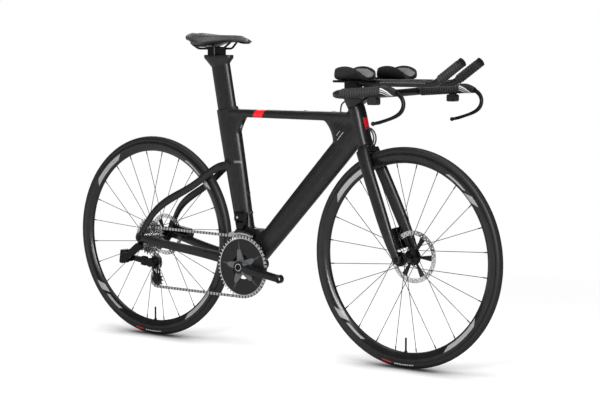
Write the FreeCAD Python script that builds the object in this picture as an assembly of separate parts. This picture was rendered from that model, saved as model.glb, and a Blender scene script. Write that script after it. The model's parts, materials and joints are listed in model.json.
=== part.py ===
import FreeCAD, Part
import math
import os

# A time trial bicycle. The ground is z = 0, x points forwards, y to the rider's left.
# The origin lies on the ground midway between the two axles. All lengths are millimetres.

# Layout of the wheels and the main axes
wheelbase = 1020.0
bead_seat_radius = 311.0
tyre_height = 24.0
bottom_bracket_drop = 69.0
chainstay_length = 424.0
seat_angle = 79.0
head_angle = 72.5
fork_offset = 43.0
fork_length = 362.0
running_clearance = 0.05
loose_clearance = 0.3

# Wheels
tyre_bead_half_width = 10.9
tyre_wall = 2.2
rim_hook_height = 5.8
rim_hook_wall = 1.6
rim_depth = 31.0
rim_half_width = 12.6
rim_nose_half_width = 4.0
spokes_per_side = 12
spoke_radius = 1.0
nipple_radius = 1.8
nipple_length = 12.0
spoke_hub_turn = 60.0
spoke_row_spacing = 3.6
flange_radius = 22.0
flange_thickness = 7.0
valve_radius = 3.0
valve_reach = 44.0
axle_radius = 6.0
bearing_width = 7.0
hub_bearing_radius = 13.0
front_hub_width = 100.0
rear_hub_width = 142.0
front_flange_left = 25.0
front_flange_right = 33.0
rear_flange_left = 31.0
rear_flange_right = 17.0
front_rotor_radius = 80.0
rear_rotor_radius = 70.0
rotor_thickness = 1.8
rotor_track = 14.0
rotor_inset = 11.0
rear_rotor_inset = 15.3
rotor_arms = 6
rotor_holes = 30
rotor_hole_radius = 2.2

# Drive train
chain_pitch = 12.7
chain_line = 46.0
ring_teeth = 48
small_ring_teeth = 35
ring_spacing = 7.4
tooth_thickness = 1.8
cog_teeth = (11, 12, 13, 14, 15, 17, 19, 21, 23, 25, 27, 30)
cog_in_use = 5
cog_spacing = 3.7
cog_thickness = 1.6
freehub_radius = 17.0
pulley_teeth = 12
roller_radius = 3.85
chain_inner_width = 2.4
inner_plate = 0.85
outer_plate = 0.5
chain_plate_radius = 4.2
chain_pin_radius = 1.8
crank_length = 172.5
crank_angle = -7.5
spindle_radius = 14.5
pedal_thread_radius = 7.14
pedal_eye_radius = 13.5
pedal_eye_offset = 71.0
pedal_eye_width = 13.0
spider_radius = 56.0
spider_arms = 5

# Frame
top_tube_set_down = 17.0
seat_collar_rise = 2.0
seat_tube_width = 33.0
seat_tube_depth_low = 74.0
seat_tube_depth_high = 84.0
top_tube_depth = 26.0
top_tube_front_depth = 30.0
top_tube_width = 36.0
down_tube_depth = 74.0
down_tube_width = 42.0
down_tube_join = 62.0
head_tube_length = 124.0
head_tube_radius = 23.0
head_tube_nose = 27.0
head_gusset_reach = 131.0
head_gusset_drop = 62.0
seat_gusset_reach = 46.0
seat_gusset_drop = 52.0
shell_radius = 27.0
shell_half_width = 34.0
bracket_bearing_radius = 21.0
bracket_bearing_width = 8.0
headset_radius = 21.0
chainstay_height = 34.0
chainstay_thickness = 15.0
seatstay_height = 25.0
seatstay_thickness = 13.0
seatstay_join = 322.0
dropout_radius = 17.0
dropout_thickness = 8.0
hanger_thickness = 4.0
boss_spacing = 64.0
boss_height = 200.0
boss_thread_radius = 2.1
boss_radius = 5.5
boss_rise = 1.6
top_boss_spacing = 108.0
top_boss_setback = 92.0

# Seat
post_depth = 74.0
post_width = 27.0
post_clearance = 0.15
post_insert = 150.0
post_socket = 225.0
post_rise = 164.0
post_flare = 24.0
post_head_half_length = 58.0
post_head_thickness = 10.0
rail_radius = 3.5
rail_half_gauge = 22.0
rail_height = 20.0
saddle_length = 258.0
saddle_half_width = 66.0
saddle_setback = 115.0
saddle_groove = 6.0
saddle_scoop = 4.0

# Fork and cockpit
steerer_radius = 14.3
fork_blade_depth = 42.0
fork_blade_width = 19.0
fork_dropout_thickness = 8.0
stem_rise = 25.0
stem_half_width = 27.0
bar_half_width = 211.0
bar_chord = 54.0
bar_thickness = 22.0
bar_set_forward = 30.0
bar_corner_steps = 8
horn_radius = 12.0
horn_start = 100.0
horn_end = 247.0
horn_climb = 0.063
tape_thickness = 3.0
lever_pivot_reach = 52.0
lever_width = 8.0
lever_pin_radius = 2.5
pod_length = 32.0
pod_width = 22.0
pod_height = 22.0
button_radius = 6.0
button_travel = 1.0
extension_radius = 11.0
extension_half_gauge = 50.0
extension_height = 50.0
extension_straight = 318.0
extension_rise_angle = 34.5
extension_rise_length = 108.0
extension_bend = 48.0
arm_pad_half_gauge = 110.0
arm_pad_set_forward = 82.0
arm_cup_height = 59.0
arm_cup_depth = 41.0
arm_cup_half_width = 47.0
arm_cup_length = 114.0
arm_cup_wall = 3.0
arm_pad_thickness = 9.0

# Brakes
caliper_length = 66.0
caliper_start = 38.0
caliper_depth = 27.0
caliper_inner = 13.0
pad_length = 26.0
pad_height = 18.0
pad_thickness = 4.5
pad_gap = 0.45

# Rear and front derailleurs
guide_forward = 44.0
guide_drop = 81.0
cage_length = 58.0
cage_rest_angle = -79.0
cage_plate = 1.5
cage_half_gap = 4.3
pulley_pin_radius = 3.0
hanger_forward = 2.0
hanger_drop = 30.0
link_length = 64.0
link_rise = 9.0
knuckle_reach = 32.0
link_height = 18.0
link_thickness = 10.0
link_pin_radius = 2.5
cage_shaft_radius = 6.0
front_cage_inner_radius = 97.5
front_cage_height = 20.0
front_cage_outer_rise = 7.5
front_cage_pivot_height = 139.0
front_cage_pivot_inset = 14.0

# Hoses
hose_radius = 2.5
hose_port_depth = 9.0

vec = FreeCAD.Vector
forward = vec(1, 0, 0)
left = vec(0, 1, 0)
up = vec(0, 0, 1)
section_points = 20


def turned(angle, radius, center, y):
    a = math.radians(angle)
    return vec(center.x + radius * math.cos(a), y, center.z + radius * math.sin(a))


def mirrored(shape):
    return shape.mirror(vec(0, 0, 0), left)


def fuse(shapes):
    body = shapes[0]
    for shape in shapes[1:]:
        body = body.fuse(shape)
    return body


def cut(shape, tools):
    for tool in tools:
        shape = shape.cut(tool)
    return shape


def group(solids):
    return Part.makeCompound(solids)


def oval(center, u, v, half_u, half_v, power=2.4):
    points = []
    for i in range(section_points):
        a = 2 * math.pi * i / section_points
        c = math.cos(a)
        s = math.sin(a)
        pu = math.copysign(abs(c) ** (2 / power), c) * half_u
        pv = math.copysign(abs(s) ** (2 / power), s) * half_v
        points.append(center + u * pu + v * pv)
    curve = Part.BSplineCurve()
    curve.interpolate(Points=points, PeriodicFlag=True)
    return Part.Wire([curve.toShape()])


def loft(wires):
    return Part.makeLoft(wires, True, False)


def rod(start, direction, radius, length):
    return Part.makeCylinder(radius, length, start, direction)


def tube(start, direction, inner, outer, length):
    return rod(start, direction, outer, length).cut(rod(start, direction, inner, length))


def across(center, y_from, y_to, radius):
    return rod(vec(center.x, min(y_from, y_to), center.z), left, radius, abs(y_to - y_from))


def ring_across(center, y_from, y_to, inner, outer):
    return across(center, y_from, y_to, outer).cut(across(center, y_from, y_to, inner))


def block(origin, along, x_range, y_range, z_range):
    # A box in a local frame: along, the rider's left, and along cross left.
    out = along.cross(left)
    shape = Part.makeBox(x_range[1] - x_range[0], y_range[1] - y_range[0], z_range[1] - z_range[0],
                         vec(x_range[0], y_range[0], z_range[0]))
    frame = FreeCAD.Matrix(along.x, left.x, out.x, origin.x, along.y, left.y, out.y, origin.y,
                           along.z, left.z, out.z, origin.z, 0, 0, 0, 1)
    shape.Placement = FreeCAD.Placement(frame)
    return shape


def rounded(shape, radius, direction):
    # Round the edges of a block that run along one direction.
    picked = []
    for edge in shape.Edges:
        run = edge.Vertexes[-1].Point.sub(edge.Vertexes[0].Point)
        if run.Length > 0 and abs(run.normalize().dot(direction)) > 0.99:
            picked.append(edge)
    return shape.makeFillet(radius, picked)


def sheet(wires, y_from, y_to):
    # A flat outline with holes in the xz plane at y_from, made solid up to y_to.
    face = Part.makeFace(Part.makeCompound(wires), "Part::FaceMakerBullseye")
    return face.extrude(vec(0, y_to - y_from, 0))


def circle(center, radius, y):
    return Part.Wire([Part.Circle(vec(center.x, y, center.z), left, radius).toShape()])


def eye_outline(c1, r1, c2, r2, y):
    # Two round eyes joined by their outer tangents.
    span = math.hypot(c2.x - c1.x, c2.z - c1.z)
    heading = math.degrees(math.atan2(c2.z - c1.z, c2.x - c1.x))
    spread = math.degrees(math.acos((r1 - r2) / span))
    a = turned(heading + spread, r1, c1, y)
    b = turned(heading - spread, r1, c1, y)
    c = turned(heading - spread, r2, c2, y)
    d = turned(heading + spread, r2, c2, y)
    return Part.Wire([
        Part.Arc(a, turned(heading + 180, r1, c1, y), b).toShape(),
        Part.LineSegment(b, c).toShape(),
        Part.Arc(c, turned(heading, r2, c2, y), d).toShape(),
        Part.LineSegment(d, a).toShape()])


def bent_path(points, bend):
    # Straight runs joined by tangent arcs of one radius.
    edges = []
    start = points[0]
    for before, corner, after in zip(points, points[1:], points[2:]):
        a = before.sub(corner).normalize()
        b = after.sub(corner).normalize()
        half_turn = (math.pi - math.acos(max(-1, min(1, a.dot(b))))) / 2
        setback = bend * math.tan(half_turn)
        p = corner + a * setback
        q = corner + b * setback
        inward = (a + b).normalize()
        middle = corner + inward * (bend / math.cos(half_turn) - bend)
        if p.distanceToPoint(start) > 1e-6:
            edges.append(Part.LineSegment(start, p).toShape())
        edges.append(Part.Arc(p, middle, q).toShape())
        start = q
    edges.append(Part.LineSegment(start, points[-1]).toShape())
    return Part.Wire(edges)


def bent_rod(points, bend, radius):
    path = bent_path(points, bend)
    direction = points[1].sub(points[0]).normalize()
    profile = Part.Wire([Part.Circle(points[0], direction, radius).toShape()])
    return path.makePipeShell([profile], True, False)


def spun(outline, center):
    # Turn an outline of (radius, y) points about the axle line through center.
    points = [vec(center.x + r, y, center.z) for r, y in outline]
    wire = Part.makePolygon(points + [points[0]])
    return Part.Face(wire).revolve(center, left, 360)


def along_path(stations, half_u, half_v, power, flat=up):
    # A loft through points, each with its two half sizes, square to the path.
    wires = []
    last = len(stations) - 1
    for i, place in enumerate(stations):
        run = stations[min(i + 1, last)].sub(stations[max(i - 1, 0)]).normalize()
        side = run.cross(flat).normalize()
        rise = side.cross(run).normalize()
        wires.append(oval(place, side, rise, half_u[i], half_v[i], power))
    return loft(wires)


# Main points
tyre_radius = bead_seat_radius + tyre_height
rear_axle_point = vec(-wheelbase / 2, 0, tyre_radius)
front_axle_point = vec(wheelbase / 2, 0, tyre_radius)
bracket = vec(rear_axle_point.x + math.sqrt(chainstay_length ** 2 - bottom_bracket_drop ** 2), 0,
              tyre_radius - bottom_bracket_drop)
seat_up = vec(-math.cos(math.radians(seat_angle)), 0, math.sin(math.radians(seat_angle)))
seat_ahead = vec(seat_up.z, 0, -seat_up.x)
steer_up = vec(-math.cos(math.radians(head_angle)), 0, math.sin(math.radians(head_angle)))
steer_ahead = vec(steer_up.z, 0, -steer_up.x)
steer_foot = front_axle_point - steer_ahead * fork_offset
head_bottom = fork_length + 1.0
head_top = head_bottom + head_tube_length


def on_seat(s):
    return bracket + seat_up * s


def on_steer(t):
    return steer_foot + steer_up * t


stem_top = on_steer(head_top + stem_rise)
tube_top = on_steer(head_top).z - top_tube_set_down
seat_tube_length = (tube_top + seat_collar_rise - bracket.z) / seat_up.z


def cockpit(dx, y, dz):
    return stem_top + vec(dx, y, dz)


# The cord of the drive: cog, chainring, tension pulley and guide pulley in travel order
def pitch_radius(teeth):
    return chain_pitch / (2 * math.sin(math.pi / teeth))


guide_point = rear_axle_point + vec(guide_forward, 0, -guide_drop)


def tension_point(angle):
    return turned(angle, cage_length, guide_point, 0)


def chain_route(angle):
    # Each wheel has its centre, its teeth and its turning sense, clockwise from the drive side as 1.
    wheels = [(rear_axle_point, cog_teeth[cog_in_use], 1), (bracket, ring_teeth, 1),
              (tension_point(angle), pulley_teeth, 1), (guide_point, pulley_teeth, -1)]
    headings = []
    for i, (c1, n1, s1) in enumerate(wheels):
        c2, n2, s2 = wheels[(i + 1) % 4]
        dx = c2.x - c1.x
        dz = c2.z - c1.z
        lean = (s1 * pitch_radius(n1) - s2 * pitch_radius(n2)) / math.hypot(dx, dz)
        headings.append(math.atan2(dz, dx) - math.asin(lean))
    pieces = []
    for i, (center, teeth, sense) in enumerate(wheels):
        into = headings[i - 1]
        away = headings[i]
        turn = (into - away) * sense % (2 * math.pi)
        start = into + sense * math.pi / 2
        pieces.append(("wrap", center, pitch_radius(teeth), start, -sense, turn,
                       turn * teeth * chain_pitch / (2 * math.pi)))
        c2, n2, s2 = wheels[(i + 1) % 4]
        normal = vec(-math.sin(away), 0, math.cos(away))
        a = center + normal * (sense * pitch_radius(teeth))
        b = c2 + normal * (s2 * pitch_radius(n2))
        pieces.append(("run", a, b, a.distanceToPoint(b)))
    return pieces


def route_length(angle):
    return sum(piece[-1] for piece in chain_route(angle))


def settle_cage():
    # The sprung cage takes up the slack of a whole, even number of links.
    pair = 2 * chain_pitch
    links = 2 * round(route_length(cage_rest_angle) / pair)
    low = cage_rest_angle - 35
    high = cage_rest_angle + 35
    for _ in range(60):
        middle = (low + high) / 2
        if route_length(middle) > links * chain_pitch:
            low = middle
        else:
            high = middle
    return middle, links


cage_angle, chain_links = settle_cage()
tension_center = tension_point(cage_angle)


def chain_pins():
    # Pin places along the route, and a pin's angle on each toothed wheel.
    pieces = chain_route(cage_angle)
    pins = []
    phases = []
    begun = 0.0
    for piece in pieces:
        length = piece[-1]
        first = math.ceil(begun / chain_pitch - 1e-9)
        angle = 0.0
        while first * chain_pitch < begun + length - 1e-6 and first < chain_links:
            part_way = first * chain_pitch - begun
            if piece[0] == "run":
                pins.append(piece[1] + (piece[2] - piece[1]) * (part_way / length))
            else:
                angle = math.degrees(piece[3] + piece[4] * piece[5] * part_way / length)
                pins.append(turned(angle, piece[2], piece[1], 0))
            first += 1
        if piece[0] == "wrap":
            phases.append(angle)
        begun += length
    return pins, phases


pin_places, wheel_phases = chain_pins()
cog_phase, ring_phase, tension_phase, guide_phase = wheel_phases


def toothed_outline(center, teeth, phase, y):
    # Teeth stand midway between chain pins.
    pitch = pitch_radius(teeth)
    step = 360.0 / teeth
    root = pitch - roller_radius - 0.4
    tip = pitch + 3.0
    profile = [(-2.9, root), (-2.0, pitch), (-0.8, tip), (0.8, tip), (2.0, pitch), (2.9, root)]
    points = []
    for i in range(teeth):
        middle = phase + step * (i + 0.5)
        for offset, radius in profile:
            points.append(turned(middle + math.degrees(offset / radius), radius, center, y))
    return Part.makePolygon(points + [points[0]])


def ring_of_holes(center, radius, count, hole, y, start=0.0):
    return [circle(turned(start + 360.0 * i / count, radius, center, 0), hole, y) for i in range(count)]


def window(center, r1, r2, a1, a2, y):
    # A sector shaped hole between two radii.
    a, b = turned(a1, r1, center, y), turned(a2, r1, center, y)
    c, d = turned(a2, r2, center, y), turned(a1, r2, center, y)
    middle = (a1 + a2) / 2
    return Part.Wire([
        Part.Arc(a, turned(middle, r1, center, y), b).toShape(),
        Part.LineSegment(b, c).toShape(),
        Part.Arc(c, turned(middle, r2, center, y), d).toShape(),
        Part.LineSegment(d, a).toShape()])


# Wheels
rim_inner = bead_seat_radius + rim_hook_height - rim_depth
hook_radius = bead_seat_radius + rim_hook_height


def tyre(center):
    def at(radius, y):
        return vec(center.x + radius, y, center.z)

    bead = tyre_bead_half_width
    seat = bead_seat_radius + loose_clearance
    shoulder = hook_radius + 0.8
    inner = bead - tyre_wall
    crown = tyre_radius - tyre_wall - 0.6
    edges = [
        Part.LineSegment(at(seat, bead), at(shoulder, bead)),
        Part.Arc(at(shoulder, bead), at(tyre_radius, 0), at(shoulder, -bead)),
        Part.LineSegment(at(shoulder, -bead), at(seat, -bead)),
        Part.LineSegment(at(seat, -bead), at(seat, -inner)),
        Part.LineSegment(at(seat, -inner), at(shoulder, -inner)),
        Part.Arc(at(shoulder, -inner), at(crown, 0), at(shoulder, inner)),
        Part.LineSegment(at(shoulder, inner), at(seat, inner)),
        Part.LineSegment(at(seat, inner), at(seat, bead))]
    face = Part.Face(Part.Wire([edge.toShape() for edge in edges]))
    return face.revolve(center, left, 360)


def valve_hole(center, radius):
    return rod(center - up * (bead_seat_radius + 1), up, radius, rim_depth + 6)


def rim(center):
    def at(radius, y):
        return vec(center.x + radius, y, center.z)

    bed = bead_seat_radius
    hook_in = tyre_bead_half_width + 0.2
    hook_out = hook_in + rim_hook_wall
    belly = bed - 0.3 * rim_depth
    nose = rim_nose_half_width
    edges = [
        Part.LineSegment(at(bed, -hook_in), at(bed, hook_in)),
        Part.LineSegment(at(bed, hook_in), at(hook_radius, hook_in)),
        Part.LineSegment(at(hook_radius, hook_in), at(hook_radius, hook_out)),
        Part.Arc(at(hook_radius, hook_out), at(belly, rim_half_width), at(rim_inner + 5, nose + 3)),
        Part.Arc(at(rim_inner + 5, nose + 3), at(rim_inner, 0), at(rim_inner + 5, -nose - 3)),
        Part.Arc(at(rim_inner + 5, -nose - 3), at(belly, -rim_half_width), at(hook_radius, -hook_out)),
        Part.LineSegment(at(hook_radius, -hook_out), at(hook_radius, -hook_in)),
        Part.LineSegment(at(hook_radius, -hook_in), at(bed, -hook_in))]
    face = Part.Face(Part.Wire([edge.toShape() for edge in edges]))
    return face.revolve(center, left, 360).cut(valve_hole(center, valve_radius + loose_clearance))


def spoke(start, end):
    # A thin stem with a thicker nipple at its rim end.
    axis = end - start
    length = axis.Length
    axis.normalize()
    stem = rod(start, axis, spoke_radius, length - nipple_length)
    return stem.fuse(rod(end - axis * nipple_length, axis, nipple_radius, nipple_length))


def spokes(center, left_flange, right_flange):
    solids = []
    step = 360.0 / spokes_per_side
    hub_radius = flange_radius + spoke_radius + 0.2
    for flange, offset in ((left_flange, 0.25), (-right_flange, 0.75)):
        outward = math.copysign(1, flange)
        for i in range(spokes_per_side):
            rim_angle = -90 + step * (i + offset)
            turn = spoke_hub_turn if i % 2 else -spoke_hub_turn
            row = spoke_row_spacing / 2 if i % 2 else -spoke_row_spacing / 2
            start = turned(rim_angle + turn, hub_radius, center, flange + outward * row)
            end = turned(rim_angle, rim_inner - 0.4, center, outward * 1.5)
            solids.append(spoke(start, end))
    return group(solids)


def valve(center):
    stem = rod(center - up * (bead_seat_radius - 0.5), up, valve_radius,
               bead_seat_radius - 0.5 - rim_inner + valve_reach)
    collar = rod(center - up * (rim_inner - 0.4), up, valve_radius + 2, 3.0)
    return stem.fuse(collar)


def hub(center, left_flange, right_flange, left_end, right_end, rotor_y):
    # A waisted shell with two spoke flanges, bearing seats and a rotor seat on the left.
    half = flange_thickness / 2
    waist = flange_radius - 7
    bore = axle_radius + 4
    seat = hub_bearing_radius
    cap = seat + 3
    outline = [
        (seat, left_end), (cap, left_end), (cap, rotor_y - rotor_thickness / 2),
        (flange_radius - 5, rotor_y - rotor_thickness / 2),
        (flange_radius - 5, left_flange + half + 1), (flange_radius, left_flange + half),
        (flange_radius, left_flange - half), (waist, left_flange - half - 6),
        (waist, -right_flange + half + 6), (flange_radius, -right_flange + half),
        (flange_radius, -right_flange - half), (cap, -right_flange - half - 1), (cap, -right_end),
        (seat, -right_end), (seat, -right_end + bearing_width), (bore, -right_end + bearing_width),
        (bore, left_end - bearing_width), (seat, left_end - bearing_width)]
    return spun(outline, center)


def bearing_with_cap(center, y_inner, y_outer):
    # A sealed bearing whose inner race reaches out to the dropout as an end cap.
    outward = math.copysign(1, y_outer)
    race = ring_across(center, y_inner, y_inner + outward * bearing_width, axle_radius + running_clearance,
                       hub_bearing_radius)
    cap = ring_across(center, y_inner, y_outer, axle_radius + running_clearance, axle_radius + 3)
    return race.fuse(cap)


def rotor(center, radius, y):
    # A braking ring with drilled holes on a spider with swept arms.
    wires = [circle(center, radius, y), circle(center, hub_bearing_radius + 3.3, y)]
    wires += ring_of_holes(center, radius - 0.35 * rotor_track, rotor_holes, rotor_hole_radius, y)
    wires += ring_of_holes(center, radius - 0.75 * rotor_track, rotor_holes, rotor_hole_radius, y,
                           180.0 / rotor_holes)
    step = 360.0 / rotor_arms
    for i in range(rotor_arms):
        start = step * i + 8
        wires.append(window(center, flange_radius + 4, radius - rotor_track, start, start + step - 16, y))
    return sheet(wires, y, y + rotor_thickness)


front_hub_half = front_hub_width / 2
rear_hub_half = rear_hub_width / 2
front_rotor_y = front_hub_half - rotor_inset
rear_rotor_y = rear_hub_half - rear_rotor_inset
cog_places = [-chain_line + (k - cog_in_use) * cog_spacing for k in range(len(cog_teeth))]
freehub_outer = cog_places[0] - cog_thickness / 2 - 1.0
freehub_inner = cog_places[-1] + cog_thickness / 2 + 0.6


def wheel_nodes(name, center, left_flange, right_flange, left_end, right_end, hub_half, rotor_radius,
                rotor_y):
    bearings = [bearing_with_cap(center, left_end - bearing_width, hub_half - 0.1),
                bearing_with_cap(center, -right_end + bearing_width, -hub_half + 0.1)]
    return {
        name + "_tyre": tyre(center),
        name + "_rim": rim(center),
        name + "_spokes": spokes(center, left_flange, right_flange),
        name + "_valve": valve(center),
        name + "_hub": hub(center, left_flange, right_flange, left_end, right_end, rotor_y),
        name + "_hub_bearings": group(bearings),
        name + "_rotor": rotor(center, rotor_radius, rotor_y - rotor_thickness / 2)}


def cassette():
    solids = []
    for k, teeth in enumerate(cog_teeth):
        y = cog_places[k] - cog_thickness / 2
        phase = cog_phase if k == cog_in_use else 0.0
        bore = freehub_radius + 0.1
        wires = [toothed_outline(rear_axle_point, teeth, phase, y), circle(rear_axle_point, bore, y)]
        room = pitch_radius(teeth) - roller_radius - bore
        if room > 20:
            wires += ring_of_holes(rear_axle_point, bore + 0.55 * room, 9, 0.24 * room, y)
        disc = sheet(wires, y, y + cog_thickness)
        if k + 1 < len(cog_teeth):
            spacer = ring_across(rear_axle_point, y + cog_thickness, y + cog_spacing, bore, bore + 2.0)
            disc = disc.fuse(spacer)
        solids.append(disc)
    body = ring_across(rear_axle_point, freehub_outer, freehub_inner, axle_radius + 4, freehub_radius)
    lock = ring_across(rear_axle_point, freehub_outer - 2.0, freehub_outer, axle_radius + 4,
                       freehub_radius + 2.5)
    seat = ring_across(rear_axle_point, freehub_outer - 1.5, freehub_outer + bearing_width,
                       axle_radius + 3 + 2 * running_clearance, axle_radius + 4)
    return group(solids + [fuse([body, lock, seat])])


# Crank set
def crank_frame(shape, angle):
    return shape.rotate(bracket, left, -angle)


def crank_arm(side, angle):
    # An arm built along x and turned to its place, with a hub, a tapered blade and a pedal eye.
    eye = bracket + vec(crank_length, 0, 0)
    y = side * pedal_eye_offset
    half = pedal_eye_width / 2
    stations = [(-14, 17, -13, 8), (24, 16.5, -11, 8.5), (70, 14, -6, 8), (130, 12.5, -1.5, 7),
                (172.5, 12.5, 0, 6.2)]
    wires = []
    for dx, half_height, inset, half_thick in stations:
        place = bracket + vec(dx * crank_length / 172.5, y + side * inset, 0)
        wires.append(oval(place, up, left, half_height, half_thick, 3.0))
    blade = loft(wires)
    hub_block = across(bracket, y - side * 21, y - side * 4, 20.0)
    pieces = [blade, hub_block, across(eye, y - half, y + half, pedal_eye_radius)]
    arm = fuse(pieces).cut(across(eye, y - 2 * half, y + 2 * half, pedal_thread_radius))
    return crank_frame(arm, angle)


ring_outer_face = -chain_line - tooth_thickness / 2
small_ring_y = -chain_line + ring_spacing


def right_crank():
    spider = []
    face_y = ring_outer_face - 4.5
    for i in range(spider_arms):
        tip = turned(crank_angle + 36 + 72 * i, spider_radius - 6, bracket, 0)
        spider.append(sheet([eye_outline(bracket, 17, tip, 7.5, face_y)], face_y, ring_outer_face))
    collar = across(bracket, -pedal_eye_offset + 10, ring_outer_face, 24.0)
    body = fuse([crank_arm(-1, crank_angle), collar] + spider)
    reach = pedal_eye_offset - 7
    return body.cut(across(bracket, -reach, 0, spindle_radius + running_clearance))


def left_crank():
    spindle = across(bracket, -pedal_eye_offset + 7.5, pedal_eye_offset - 20, spindle_radius)
    return crank_arm(1, crank_angle + 180).fuse(spindle)


def chainrings():
    y = ring_outer_face
    outer = [toothed_outline(bracket, ring_teeth, ring_phase, y), circle(bracket, spider_radius - 16, y)]
    big = sheet(outer, y, y + tooth_thickness)
    y = small_ring_y - tooth_thickness / 2
    inner = [toothed_outline(bracket, small_ring_teeth, 0.0, y), circle(bracket, spider_radius - 16, y)]
    small = sheet(inner, y, y + tooth_thickness)
    studs = []
    for i in range(spider_arms):
        tip = turned(crank_angle + 36 + 72 * i, spider_radius - 6, bracket, 0)
        studs.append(across(tip, ring_outer_face + tooth_thickness, y, 5.0))
    return group([big, fuse([small] + studs)])


# Chain
def chain():
    half_in = chain_inner_width / 2
    plate_in = half_in + inner_plate
    plate_out = plate_in + 0.05
    reach = plate_out + outer_plate
    a = vec(-chain_pitch / 2, 0, 0)
    b = vec(chain_pitch / 2, 0, 0)
    hole = chain_pin_radius + 0.25
    inner = []
    outer = []
    for y0, y1 in ((half_in, plate_in), (-plate_in, -half_in)):
        wires = [eye_outline(a, chain_plate_radius, b, chain_plate_radius, y0), circle(a, hole, y0),
                 circle(b, hole, y0)]
        inner.append(sheet(wires, y0, y1))
    for y0, y1 in ((plate_out, reach), (-reach, -plate_out)):
        outer.append(sheet([eye_outline(a, chain_plate_radius, b, chain_plate_radius, y0)], y0, y1))
    for pin in (a, b):
        inner.append(ring_across(pin, -half_in, half_in, hole, roller_radius))
        outer.append(across(pin, -reach, reach, chain_pin_radius))
    templates = (fuse(inner), fuse(outer))
    links = []
    for i in range(chain_links):
        p = pin_places[i]
        q = pin_places[(i + 1) % chain_links]
        heading = math.degrees(math.atan2(q.z - p.z, q.x - p.x))
        link = templates[i % 2].copy()
        middle = (p + q) * 0.5
        turn = FreeCAD.Rotation(left, -heading)
        link.Placement = FreeCAD.Placement(vec(middle.x, -chain_line, middle.z), turn)
        links.append(link)
    return group(links)


# Calipers and pads, in a frame along the stay or blade that carries them
fork_run = on_steer(fork_length) - front_axle_point
fork_along = vec(fork_run.x, 0, fork_run.z).normalize()
stay_run = bracket + vec(0, 0, 6) - rear_axle_point
stay_along = vec(stay_run.x, 0, stay_run.z).normalize()
front_caliper_lift = fork_blade_depth / 2 + 0.5
rear_caliper_lift = 14.5
pad_along = 58.0


def pad_center_lift(lift):
    return lift + 15.0


def caliper(origin, along, lift, rotor_y, rotor_radius, foot_y):
    span = (caliper_start, caliper_start + caliper_length)
    body = block(origin, along, span, (rotor_y - caliper_inner, rotor_y + caliper_inner),
                 (lift, lift + caliper_depth))
    body = rounded(body, 6.0, along)
    foot = block(origin, along, span, (rotor_y, foot_y), (lift, lift + 10))
    slot = across(origin, rotor_y - 2, rotor_y + 2, rotor_radius + 2)
    room = 2 * (pad_gap + pad_thickness) + rotor_thickness + 1.0
    middle = pad_center_lift(lift)
    pocket = block(origin, along, (pad_along - pad_length / 2 - 0.5, pad_along + pad_length / 2 + 0.5),
                   (rotor_y - room / 2, rotor_y + room / 2), (lift - 1, middle + pad_height / 2 + 0.5))
    return cut(fuse([body, foot]), [slot, pocket])


def brake_pad(origin, along, lift, rotor_y, side):
    near = rotor_thickness / 2 + pad_gap
    faces = sorted((rotor_y + side * near, rotor_y + side * (near + pad_thickness)))
    middle = pad_center_lift(lift)
    return block(origin, along, (pad_along - pad_length / 2, pad_along + pad_length / 2), faces,
                 (middle - pad_height / 2, middle + pad_height / 2))


# Frame
rear_dropout_inner = rear_hub_half
right_dropout_inner = rear_hub_half + hanger_thickness
rear_dropout_outer = rear_hub_half + dropout_thickness
stay_end_y = rear_hub_half + dropout_thickness / 2


def seat_tube():
    wide = seat_tube_width / 2
    slim = seat_tube_depth_low / 2
    deep = seat_tube_depth_high / 2
    low = oval(on_seat(0), seat_ahead, left, slim - 4, wide + 4)
    mid = oval(on_seat(0.4 * seat_tube_length), seat_ahead, left, slim, wide)
    high = oval(on_seat(0.78 * seat_tube_length), seat_ahead, left, deep, wide)
    top = oval(on_seat(seat_tube_length), seat_ahead, left, deep, wide)
    return loft([low, mid, high, top])


def steer_x(z):
    return steer_foot.x - (z - steer_foot.z) / math.tan(math.radians(head_angle))


def seat_x(z):
    return bracket.x - (z - bracket.z) / math.tan(math.radians(seat_angle))


def top_tube():
    rear_z = tube_top - top_tube_depth / 2
    front_z = tube_top - top_tube_front_depth / 2
    wide = top_tube_width / 2
    rear = oval(vec(seat_x(rear_z), 0, rear_z), up, left, top_tube_depth / 2, wide - 2, 3.0)
    front = oval(vec(steer_x(front_z), 0, front_z), up, left, top_tube_front_depth / 2, wide + 3, 3.0)
    return loft([rear, front])


down_start = bracket + up * 6
down_end = on_steer(head_bottom + down_tube_join)
down_along = (down_end - down_start).normalize()
down_over = vec(-down_along.z, 0, down_along.x)


def down_tube():
    half = down_tube_depth / 2
    wide = down_tube_width / 2
    wires = [oval(down_start, down_over, left, half - 4, wide + 4),
             oval(down_start + (down_end - down_start) * 0.35, down_over, left, half, wide),
             oval(down_end, down_over, left, half + 2, wide)]
    return loft(wires)


def head_tube():
    wires = []
    for share, depth in ((0.0, head_tube_radius), (0.4, head_tube_radius + 0.5), (0.75, head_tube_nose),
                         (1.0, head_tube_nose - 1)):
        wires.append(oval(on_steer(head_bottom + share * head_tube_length), steer_ahead, left, depth,
                          head_tube_radius, 2.2))
    return loft(wires)


def flat_section(z, x_rear, x_front, width):
    middle = vec((x_rear + x_front) / 2, 0, z)
    return oval(middle, forward, left, (x_front - x_rear) / 2, width / 2, 3.2)


def head_gusset():
    top = tube_top - top_tube_front_depth / 2
    floor = tube_top - top_tube_front_depth
    wires = [flat_section(top, steer_x(top) - head_gusset_reach - 12, steer_x(top), 34),
             flat_section(floor - 0.55 * head_gusset_drop, steer_x(floor) - 0.8 * head_gusset_reach,
                          steer_x(floor), 38),
             flat_section(floor - 1.1 * head_gusset_drop, steer_x(floor) - 0.74 * head_gusset_reach,
                          steer_x(floor) + 8, 40)]
    return loft(wires)


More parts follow.
